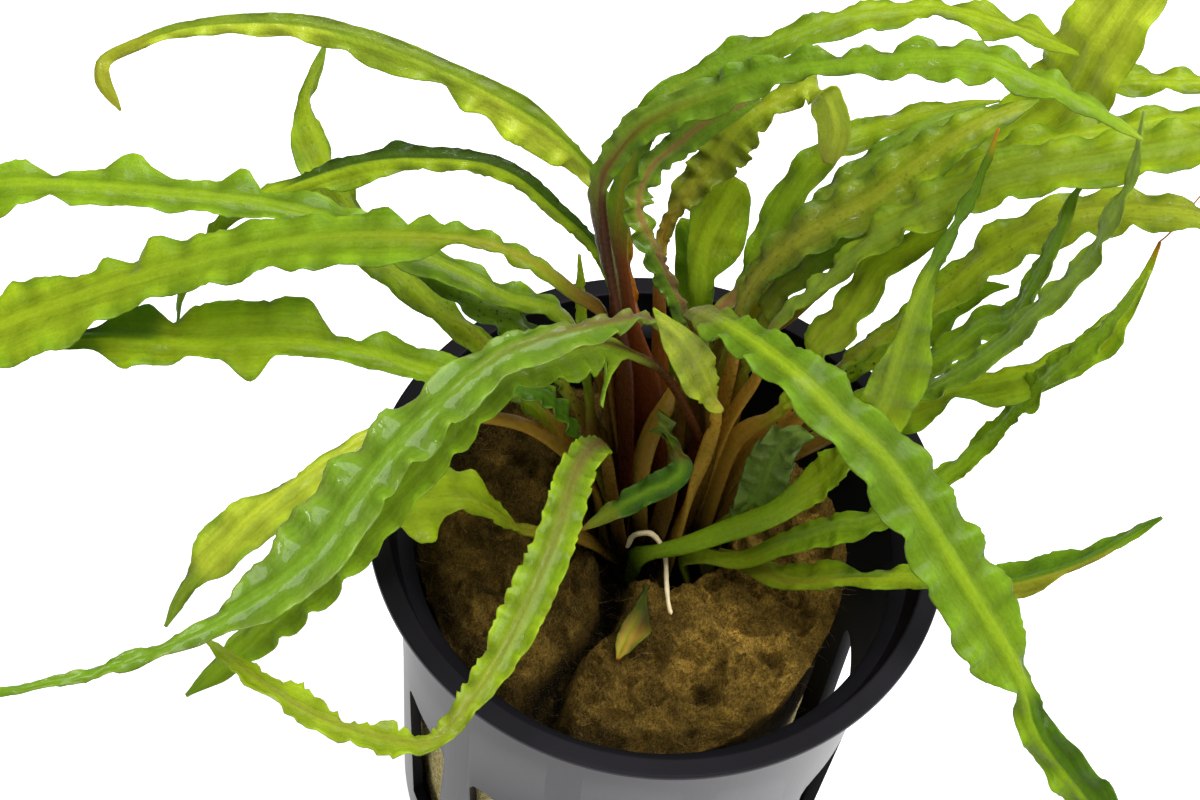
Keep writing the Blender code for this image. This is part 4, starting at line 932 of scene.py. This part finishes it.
def leaf_material(name, roughness, coat, glow):
    """Leaf tissue: the colour comes with each leaf's mesh, and veins, blotches and spots go over it."""
    n = Nodes(name)
    place = n.attribute("place", "Vector")
    veins = n.noise(n.stretch(place, (0.16, 3.4, 1.7)), 1.0)
    cells = n.noise(n.stretch(place, (1.9, 2.6, 3.1)), 1.0, 4.0, 0.65)
    blotch = n.noise(n.stretch(place, (0.30, 0.55, 2.3)), 1.0, 2.0)
    colour = n.mottled(n.attribute("tissue", "Color"), veins, 0.3, 0.7, 0.89, 1.11)
    colour = n.mottled(colour, cells, 0.3, 0.7, 0.92, 1.08)
    darker = n.mix(1.0, colour, (0.74, 0.85, 0.55, 1.0), "MULTIPLY")
    colour = n.mix(n.remap(blotch, 0.52, 0.72, 0.0, 0.55), colour, darker)
    dots = n.add("ShaderNodeTexVoronoi", {"Vector": n.stretch(place, (1.5, 1.9, 1.0)), "Scale": 1.0})
    dot = n.remap(dots.outputs["Distance"], 0.16, 0.26, 1.0, 0.0)
    dot = n.add("ShaderNodeMath", {0: dot, 1: n.attribute("spots", "Fac")}, operation="MULTIPLY").outputs[0]
    colour = n.mix(dot, colour, (0.035, 0.022, 0.010, 1.0))
    normal = n.bump(cells, 0.45, 0.00030, n.bump(veins, 0.12, 0.00015))
    skin = n.skin({
        "Base Color": colour,
        "Roughness": n.remap(cells, 0.3, 0.7, roughness - 0.06, roughness + 0.08),
        "Specular IOR Level": 0.12,
        "Coat Weight": coat,
        "Coat Roughness": 0.08,
        "Normal": normal,
    })
    lit = n.mix(1.0, colour, (1.28, 1.20, 0.45, 1.0), "MULTIPLY")
    through = n.add("ShaderNodeBsdfTranslucent", {"Color": lit, "Normal": normal})
    both = n.add("ShaderNodeMixShader", {0: glow, 1: skin, 2: through.outputs[0]})
    return n.finish(both.outputs[0])


def plain_material(name, colour, roughness, grain, specular=0.5, ripple=0.3, glow=0.0):
    """An even finish with faint mottling, for the crown, the root, the dry thread and the floor."""
    n = Nodes(name)
    mottle = n.noise(n.object_place(), grain, 4.0, 0.6)
    return n.finish(n.skin({
        "Base Color": n.mottled((*linear(colour), 1.0), mottle, 0.3, 0.7, 0.85, 1.15),
        "Roughness": n.remap(mottle, 0.3, 0.7, roughness - 0.05, roughness + 0.05),
        "Specular IOR Level": specular,
        "Normal": n.bump(mottle, ripple, 0.0002),
        "Emission Color": WHITE,
        "Emission Strength": glow,
    }))


def plastic_material(name):
    """Black satin plastic, with painted shade: a deeper black and rougher on the inner faces, and part way
    so on top of the rim.
    """
    n = Nodes(name)
    inside = n.attribute("inside", "Fac")
    mottle = n.noise(n.object_place(), 300.0, 3.0, 0.5)
    # Painted shade: the inner faces, and part way the rim's top, take a near black instead of the plastic's
    # own colour.
    colour = n.mix(inside, (*linear((18, 16, 21)), 1.0), (*linear((3, 3, 4)), 1.0))
    return n.finish(n.skin({
        "Base Color": n.mottled(colour, mottle, 0.3, 0.7, 0.85, 1.15),
        "Roughness": n.remap(inside, 0.0, 1.0, 0.30, 0.85),
        "Specular IOR Level": 0.12,
        "Specular Tint": (0.95, 0.90, 1.0, 1.0),
        "Normal": n.bump(mottle, 0.04, 0.0002),
    }))


def wool_material(name):
    """Rock wool: brown mineral fibres, golden where they are clean, with painted shade in the hollows
    carried by the mesh colours.
    """
    n = Nodes(name)
    where = n.object_place()
    clumps = n.noise(where, 850.0, 6.0, 0.7)
    strands = n.noise(n.stretch(where, (1.0, 0.5, 1.0)), 4200.0, 4.0, 0.75)
    specks = n.noise(where, 7400.0, 2.0, 0.6)
    colour = n.mottled(n.attribute("tissue", "Color"), clumps, 0.36, 0.64, 0.76, 1.22)
    colour = n.mottled(colour, strands, 0.38, 0.62, 0.45, 1.55)
    colour = n.mix(n.remap(specks, 0.57, 0.66, 0.0, 0.8), colour, (0.19, 0.135, 0.052, 1.0))
    colour = n.mix(n.remap(specks, 0.36, 0.43, 0.7, 0.0), colour, (0.012, 0.008, 0.003, 1.0))
    return n.finish(n.skin({
        "Base Color": colour,
        "Roughness": 0.85,
        "Specular IOR Level": 0.05,
        "Normal": n.bump(strands, 1.0, 0.0006, n.bump(clumps, 1.0, 0.0014)),
    }))


def pot_profile():
    """Half the pot's section, with rounded lips, from the rim's inner edge outwards, down and up inside."""
    rim, collar, wall, foot = RIM_RADIUS, COLLAR_RADIUS, WALL_TOP_RADIUS, FOOT_RADIUS
    inner = rim - RIM_WIDTH
    top = POT_HEIGHT
    lip = top - RIM_THICKNESS
    ledge = top - COLLAR_DEPTH
    return (
        (inner, top - 0.5), (inner, top - 0.22), (inner + 0.05, top - 0.06), (inner + 0.18, top),
        (inner + 0.3, top), (rim - 0.3, top), (rim - 0.18, top), (rim - 0.05, top - 0.06), (rim, top - 0.2),
        (rim, lip + 0.2), (rim - 0.15, lip), (collar + 0.5, lip - 0.35), (collar, lip - 0.8),
        (collar - 0.15, ledge + 0.2), (collar - 0.4, ledge - 0.05), (wall + 0.2, ledge - 0.5),
        (wall, ledge - 0.8), (foot, 0.8), (foot - 0.25, 0.2), (foot - 0.8, 0.0), (0.0, 0.0), (0.0, FLOOR),
        (foot - WALL, FLOOR), (wall - WALL, ledge - 1.0), (collar - WALL - 0.2, ledge - 0.3),
    )


def mesh_from(bm, name):
    """A mesh made of the builder's faces, all of them facing outwards."""
    bmesh.ops.recalc_face_normals(bm, faces=bm.faces[:])
    mesh = bpy.data.meshes.new(name)
    bm.to_mesh(mesh)
    bm.free()
    return mesh


def turned_mesh(name, profile, steps):
    """A solid turned from a profile of radius and height. A point on the axis is one vertex."""
    bm = bmesh.new()
    on_axis = [i for i, (radius, _) in enumerate(profile) if not radius]
    poles = {i: bm.verts.new((0.0, 0.0, profile[i][1] * MM)) for i in on_axis}
    columns = []
    for k in range(steps):
        x, y = math.cos(TAU * k / steps) * MM, math.sin(TAU * k / steps) * MM
        columns.append([
            poles.get(i) or bm.verts.new((radius * x, radius * y, height * MM))
            for i, (radius, height) in enumerate(profile)
        ])
    for near, far in zip(columns, columns[1:] + columns[:1]):
        for i in range(len(profile)):
            j = (i + 1) % len(profile)
            corners = list(dict.fromkeys((near[i], far[i], far[j], near[j])))
            if len(corners) > 2:
                bm.faces.new(corners)
    return mesh_from(bm, name)


def add_cutter(bm, outline, cut, turn):
    """Adds a prism that reaches between two distances from the axis, turned about it."""
    rotation = Matrix.Rotation(turn, 3, "Z")
    near, far = (
        [bm.verts.new(rotation @ Vector((x * MM, across * MM, height * MM))) for across, height in outline]
        for x in cut
    )
    for i in range(len(outline)):
        j = (i + 1) % len(outline)
        bm.faces.new((near[i], near[j], far[j], far[i]))
    bm.faces.new(near[::-1])
    bm.faces.new(far)


def slots_mesh():
    """The cutters of the wall's slots, which have rounded upper corners, and of the foot's drain slots."""
    top, foot, drain = SLOT_TOP_WIDTH / 2, SLOT_BOTTOM_WIDTH / 2, DRAIN_WIDTH / 2
    left_corner = ((top, SLOT_TOP - SLOT_CORNER), (top - 0.5, SLOT_TOP - 0.5), (top - SLOT_CORNER, SLOT_TOP))
    right_corner = tuple((-across, height) for across, height in left_corner[::-1])
    wall_slot = ((-foot, SLOT_BOTTOM), (foot, SLOT_BOTTOM), *left_corner, *right_corner)
    foot_slot = ((-drain, -1.0), (drain, -1.0), (drain, FLOOR + 1.0), (-drain, FLOOR + 1.0))
    bm = bmesh.new()
    for i in range(SLOT_COUNT):
        add_cutter(bm, wall_slot, SLOT_CUT, math.radians(SLOT_FIRST_DEG) + i * TAU / SLOT_COUNT)
    for i in range(DRAIN_COUNT):
        add_cutter(bm, foot_slot, DRAIN_CUT, i * TAU / DRAIN_COUNT)
    return mesh_from(bm, "slots")


def wall_radius(height):
    """The outer radius of the pot's tapered wall."""
    return FOOT_RADIUS + (WALL_TOP_RADIUS - FOOT_RADIUS) * height / (POT_HEIGHT - COLLAR_DEPTH)


def pot_inner_shade(point):
    """How much painted shade a point of the pot takes: 1 on its inner faces, 0 outside and between them on
    top of its rim.
    """
    height = point.z / MM
    radius = math.hypot(point.x, point.y) / MM
    below_collar = height < POT_HEIGHT - COLLAR_DEPTH
    middle = wall_radius(height) - WALL / 2 if below_collar else RIM_RADIUS - RIM_WIDTH + 0.05
    if 0.6 < height < POT_HEIGHT - 0.4 and radius < middle:
        return 1.0
    return 0.55 * (height > POT_HEIGHT - 0.1)


def pot_mesh():
    """The pot's turned shape with the wall's and the foot's slots cut through."""
    body = new_object("pot_body", turned_mesh("pot_body", pot_profile(), POT_STEPS))
    tools = new_object("slots", slots_mesh())
    cut = body.modifiers.new("Slots", "BOOLEAN")
    cut.operation = "DIFFERENCE"
    cut.solver = "EXACT"
    cut.object = tools
    mesh = bpy.data.meshes.new_from_object(body.evaluated_get(bpy.context.evaluated_depsgraph_get()))
    bpy.data.objects.remove(body)
    bpy.data.objects.remove(tools)
    mesh.name = "moulded_net_pot"
    put_attribute(mesh, "inside", "FLOAT", [pot_inner_shade(vertex.co) for vertex in mesh.vertices])
    mesh.shade_smooth()
    mesh.set_sharp_from_angle(angle=math.radians(SHARP_EDGE_DEG))
    return mesh


def humps(x, y, table):
    """The summed height of round humps, or the depth of round pits."""
    return sum(
        height * math.exp(-((x - place_x) ** 2 + (y - place_y) ** 2) / spread**2)
        for place_x, place_y, spread, height in table
    )


def lumps(x, y, layers):
    """The summed height of layers of irregular lumps."""
    return sum(height * noise.noise(Vector((x * pace, y * pace, layer))) for pace, layer, height in layers)


def slit_share(x, y):
    """How deep a point lies in the slit, 0 outside it and up to 1 on its line."""
    middle = np.interp(y, SLIT[:, 0], SLIT[:, 1])
    wide = np.interp(y, SLIT[:, 0], SLIT[:, 2])
    shallow = 1.0 - 0.35 * math.exp(-(((y + 14.0) / 3.5) ** 2))
    ends = ease((1.5 - y) / 3.0) * ease((y + 23.0) / 2.5)
    return math.exp(-(((x - middle) / wide) ** 2)) * ends * shallow


def wool_height(x, y):
    """The plug's upper surface: two lobes, the slit between them, the crown's hollow, lumps and pits."""
    surface = PLUG_TOP + humps(x, y, LOBES) - SLIT_DEPTH * slit_share(x, y) + lumps(x, y, COARSE_LUMPS)
    across = (x - CROWN_CENTRE[0]) / (CROWN_RADII[0] - 1.0)
    ahead = (y - CROWN_CENTRE[1]) / (CROWN_RADII[1] - 1.0)
    hollow = 1.0 - ease((math.hypot(across, ahead) - 0.85) / 0.35)
    floor = CROWN_TOP - CROWN_HEIGHT - 0.3
    dent = 1.1 * ease((lumps(x, y, DENTS) - 0.12) / 0.3)
    return surface + (floor - surface) * hollow - humps(x, y, PITS) - dent + lumps(x, y, FINE_LUMPS)


def plug_radius(turn):
    """The plug's outline: a rounded block that reaches the pot's front and leaves a gap on the right."""
    block = PLUG_RADIUS + 0.7 * math.cos(2.0 * turn + 0.6) + 0.45 * math.sin(5.0 * turn)
    front = 2.4 * math.exp(-(((turn - 1.5 * math.pi) / 0.6) ** 2))
    return block - 0.8 * math.cos(turn) + front


def wool_point(turn, share, height=None):
    """A point of the plug's surface: on top at a share of its radius, or on its side at a height."""
    taper = PLUG_FOOT_RADIUS / PLUG_RADIUS
    scale = share if height is None else taper + (1.0 - taper) * height / PLUG_TOP
    reach = plug_radius(turn) * scale
    x = PLUG_CENTRE[0] + reach * math.cos(turn)
    y = PLUG_CENTRE[1] + reach * math.sin(turn)
    limit = wall_radius(PLUG_TOP if height is None else height) - WALL - 0.45
    pressed = min(1.0, limit / max(math.hypot(x, y), 1e-6))
    x *= pressed
    y *= pressed
    if height is None:
        return Vector((x, y, wool_height(x, y) - 1.6 * ease((share - 0.93) / 0.07)))
    rough = 1.0 - 0.012 * (1.0 + noise.noise(Vector((x * 0.6, y * 0.6, height * 0.6))))
    return Vector((x * rough, y * rough, height))


def wool_colour(x, y, z, gold, brown, dark, pale):
    """Golden and brown patches, with painted shade in the hollows, slit, pits and along the pot's wall,
    painted light towards the right, and pale wool behind the pot's slots, brightened further as painted
    light.
    """
    radius = math.hypot(x, y)
    patch = 0.5 + 0.5 * noise.noise(Vector((x * 0.30, y * 0.30, z * 0.30 + 5.0)))
    colour = brown + (gold - brown) * ease((patch - 0.35) / 0.4)
    # Painted shade: darker in low places on the top, in the slit, in the pits and down the plug's side near
    # the pot's wall.
    sunk = max(
        ease((44.4 - z) / 3.0) * (z > 40.0 and radius < 19.0),
        min(1.0, 1.15 * slit_share(x, y)) * (z > 30.0),
        min(0.75, 0.5 * humps(x, y, PITS)),
        0.8 * ease((43.0 - z) / 2.0) * (radius > 16.0),
    )
    colour = colour + (dark - colour) * sunk
    # Painted light: the top lighter towards the right.
    colour = colour * (1.0 + 1.2 * ease((x + 2.0) / 12.0) * (z > 40.0))
    # Painted shade: darker towards the pot's wall.
    colour = colour * (1.0 - 0.68 * ease((radius - 18.3) / 3.2) * (z > 31.0))
    # Pale wool behind the slots: its own paler colour, brightened beyond it as painted light for the light
    # coming in through them.
    at_slot = ease((31.0 - z) / 4.0) * (radius > 15.0)
    return (*(colour + (pale - colour) * at_slot), 1.0)


def wool_mesh():
    """The plug: rows of points over its top, then down its side."""
    turns = [TAU * k / PLUG_SPOKES for k in range(PLUG_SPOKES)]
    rows = []
    for k in range(PLUG_TOP_ROWS):
        rows.append([wool_point(turn, ((k + 1) / PLUG_TOP_ROWS) ** 0.85) for turn in turns])
    for k in range(PLUG_SIDE_ROWS):
        height = max(PLUG_SIDE_TOP - k, FLOOR + 0.3)
        rows.append([wool_point(turn, 1.0, height) for turn in turns])
    points = [tuple(point * MM) for row in rows for point in row]
    points.append(tuple(Vector((*PLUG_CENTRE, wool_height(*PLUG_CENTRE))) * MM))
    faces = []
    for row in range(0, (len(rows) - 1) * PLUG_SPOKES, PLUG_SPOKES):
        for k in range(PLUG_SPOKES):
            here, beside = row + k, row + (k + 1) % PLUG_SPOKES
            faces.append((here, here + PLUG_SPOKES, beside + PLUG_SPOKES, beside))
    faces += [(len(points) - 1, k, (k + 1) % PLUG_SPOKES) for k in range(PLUG_SPOKES)]
    faces.append(tuple(range(len(points) - 2, len(points) - 2 - PLUG_SPOKES, -1)))
    mesh = smooth_mesh("fibrous_rock_wool", points, faces)
    # Gold and brown of the wool, a near black for its painted shade, and the pale wool, brightened as
    # painted light.
    tones = [linear(colour) for colour in ((128, 100, 40), (88, 68, 24), (12, 8, 3), (244, 226, 156))]
    colours = [wool_colour(x / MM, y / MM, z / MM, *tones) for x, y, z in points]
    put_attribute(mesh, "tissue", "FLOAT_COLOR", colours)
    return mesh


def fibre_mesh(name):
    """Loose fibres that lie on the plug or stand up from it, each a thin three-sided strand."""
    rng = np.random.default_rng(FIBRE_SEED)
    tones = [linear(colour) for colour in FIBRE_COLOURS]
    last = 3 * FIBRE_STEPS
    strand = [
        (row + k, row + (k + 1) % 3, row + 3 + (k + 1) % 3, row + 3 + k)
        for row in range(0, last, 3)
        for k in range(3)
    ]
    strand += [(2, 1, 0), (last, last + 1, last + 2)]
    points, faces, colours = [], [], []
    for _ in range(FIBRE_COUNT):
        turn = rng.uniform(0.0, TAU)
        if rng.uniform() < FIBRES_ON_TOP:
            start = wool_point(turn, math.sqrt(rng.uniform(0.002, 0.98)))
            normal = Vector((0.0, 0.0, 1.0))
        else:
            start = wool_point(turn, 1.0, rng.uniform(4.0, 43.0))
            normal = Vector((math.cos(turn), math.sin(turn), 0.0)) * 0.25
        heading = Vector(rng.normal(size=3))
        heading -= normal * heading.dot(normal)
        heading.normalize()
        rise = rng.uniform(-0.2, 0.35)
        length = rng.uniform(0.6, 2.2)
        bend = Vector(rng.normal(size=3)) * 0.5
        radius = rng.uniform(0.014, 0.030)
        tone = tones[rng.integers(len(tones))] * rng.uniform(0.7, 1.2)
        # Painted shade: fibres in the slit are darkened with it.
        tone = tone * (1.0 - 0.9 * slit_share(start.x, start.y))
        faces += [tuple(len(points) + corner for corner in face) for face in strand]
        here = start - normal * 0.1
        for i in range(FIBRE_STEPS + 1):
            t = i / FIBRE_STEPS
            direction = (heading + normal * rise * (1.0 - 1.6 * t) + bend * t).normalized()
            first = direction.orthogonal().normalized()
            second = direction.cross(first)
            for corner in range(3):
                offset = first * math.cos(TAU * corner / 3) + second * math.sin(TAU * corner / 3)
                points.append(tuple((here + offset * radius * (1.0 - 0.7 * t)) * MM))
                colours.append((*tone, 1.0))
            here = here + direction * (length / FIBRE_STEPS)
    mesh = smooth_mesh(name, points, faces)
    put_attribute(mesh, "tissue", "FLOAT_COLOR", np.clip(colours, 0.0, 1.0))
    return mesh


def tube_mesh(name, route, radius, seed, taper):
    """A round strand along a route, a little uneven and thinner towards its end."""
    fine, lengths = smooth_path(route)
    s = np.linspace(0.0, lengths[-1], TUBE_RINGS)
    here = points_at(fine, lengths, s)
    along = unit(np.gradient(here, axis=0))
    first = unit(np.cross(along, np.array((0.31, 0.95, 0.05))))
    second = np.cross(along, first)
    turns = np.arange(TUBE_SIDES) * TAU / TUBE_SIDES
    size = radius * (1.0 - taper * (s / lengths[-1]) ** 2) * (1.0 + 0.10 * drift(s * 0.9, seed))
    size[-1] *= 0.3
    offset = first[:, None] * np.cos(turns)[:, None] + second[:, None] * np.sin(turns)[:, None]
    return ring_mesh(name, here[:, None] - offset * size[:, None, None])


def crown_mesh():
    """A rough low mound that the petioles rise from."""
    rings = []
    for scale, rise in CROWN_RINGS:
        height = CROWN_TOP - CROWN_HEIGHT * (1.0 - rise)
        ring = []
        for k in range(CROWN_SPOKES):
            x, y = math.cos(TAU * k / CROWN_SPOKES), math.sin(TAU * k / CROWN_SPOKES)
            rough = scale * (1.0 + 0.12 * noise.noise(Vector((3.0 * x, 3.0 * y, rise * 2.0))))
            ring.append((CROWN_CENTRE[0] + CROWN_RADII[0] * rough * x,
                         CROWN_CENTRE[1] + CROWN_RADII[1] * rough * y, height))
        rings.append(ring)
    return ring_mesh("rooty_crown", np.array(rings)[:, ::-1])


def build_leaves():
    finishes = {name: leaf_material(name, *values) for name, values in LEAF_FINISHES.items()}
    for number, leaf in enumerate(LEAVES):
        mesh = leaf_mesh(leaf, (seat_place(leaf.seat), *leaf.route), number + 1.0, STALK_SUNK)
        add_piece("ruffled_" + leaf.name, mesh, finishes[leaf.finish], leaf.finish, leaf.name)
    dry = leaf_material("dry_leaf", 0.6, 0.0, 0.3)
    shed = leaf_mesh(SHED_LEAF, SHED_LEAF.route, 50.0, 0.2)
    add_piece("withered_shed_leaf", shed, dry, "leaf_bronze", "shed_leaf")
    thread = plain_material("dry_thread", (176, 112, 40), 0.5, 1500.0)
    add_piece("dry_thread", tube_mesh("dry_thread", THREAD, THREAD_RADIUS, 5.0, 0.5), thread, "leaf_bronze")


def build_pot():
    add_piece("moulded_net_pot", pot_mesh(), plastic_material("black_plastic"), "pot", "net_pot")
    wool = wool_material("rock_wool")
    add_piece("fibrous_rock_wool", wool_mesh(), wool, "rock_wool", "rock_wool")
    add_piece("loose_fibres", fibre_mesh("loose_fibres"), wool, "rock_wool")
    # Near black brown: the crown's own dark colour, darkened further as painted shade under the leaves.
    stem = plain_material("crown_stem", (24, 15, 7), 0.8, 700.0, specular=0.1)
    add_piece("rooty_crown", crown_mesh(), stem, "crown", "crown")
    skin = plain_material("root_skin", (214, 196, 152), 0.5, 1500.0)
    root = tube_mesh("looped_white_root", ROOT, ROOT_RADIUS, 3.0, 0.25)
    add_piece("looped_white_root", root, skin, "root", "white_root")


def build_stage():
    """A pale floor under a white sky, with three lamps."""
    corners = [(x * FLOOR_REACH, y * FLOOR_REACH, 0.0) for x, y in ((-1, -1), (1, -1), (1, 1), (-1, 1))]
    floor = new_object("floor", smooth_mesh("floor", corners, [(0, 1, 2, 3)]))
    finish = plain_material("pale_floor", (190, 190, 192), 0.6, 20.0, specular=0.2, ripple=0.0, glow=0.92)
    floor.data.materials.append(finish)
    world = bpy.data.worlds.new("studio")
    world.use_nodes = True
    sky = world.node_tree.nodes["Background"]
    sky.inputs["Color"].default_value = WHITE
    sky.inputs["Strength"].default_value = SKY_STRENGTH
    bpy.context.scene.world = world
    for name, place, aim, size, power in LAMPS:
        lamp = bpy.data.lights.new(name, "AREA")
        lamp.size = size
        lamp.energy = power
        holder = new_object(name, lamp)
        holder.location = place
        holder.rotation_euler = (Vector(aim) - Vector(place)).to_track_quat("-Z", "Y").to_euler()


def build_camera():
    """The photo's viewpoint: above the pot's front, tilted well down and rolled a little."""
    pitch, roll = math.radians(CAMERA_PITCH_DEG), math.radians(CAMERA_ROLL_DEG)
    forward = Vector((0.0, math.cos(pitch), -math.sin(pitch)))
    right = Vector((1.0, 0.0, 0.0))
    upward = right.cross(forward)
    turned_right = right * math.cos(roll) + upward * math.sin(roll)
    turned_up = upward * math.cos(roll) - right * math.sin(roll)
    camera = bpy.data.cameras.new("view")
    camera.lens = CAMERA_LENS
    camera.sensor_width = CAMERA_SENSOR
    camera.clip_start = CAMERA_NEAR
    holder = new_object("view", camera)
    rotation = Matrix((turned_right, turned_up, -forward)).transposed()
    holder.matrix_world = Matrix.Translation(CAMERA_PLACE) @ rotation.to_4x4()
    bpy.context.scene.camera = holder


build_leaves()
build_pot()
build_stage()
build_camera()
bpy.context.scene.view_settings.view_transform = "Standard"
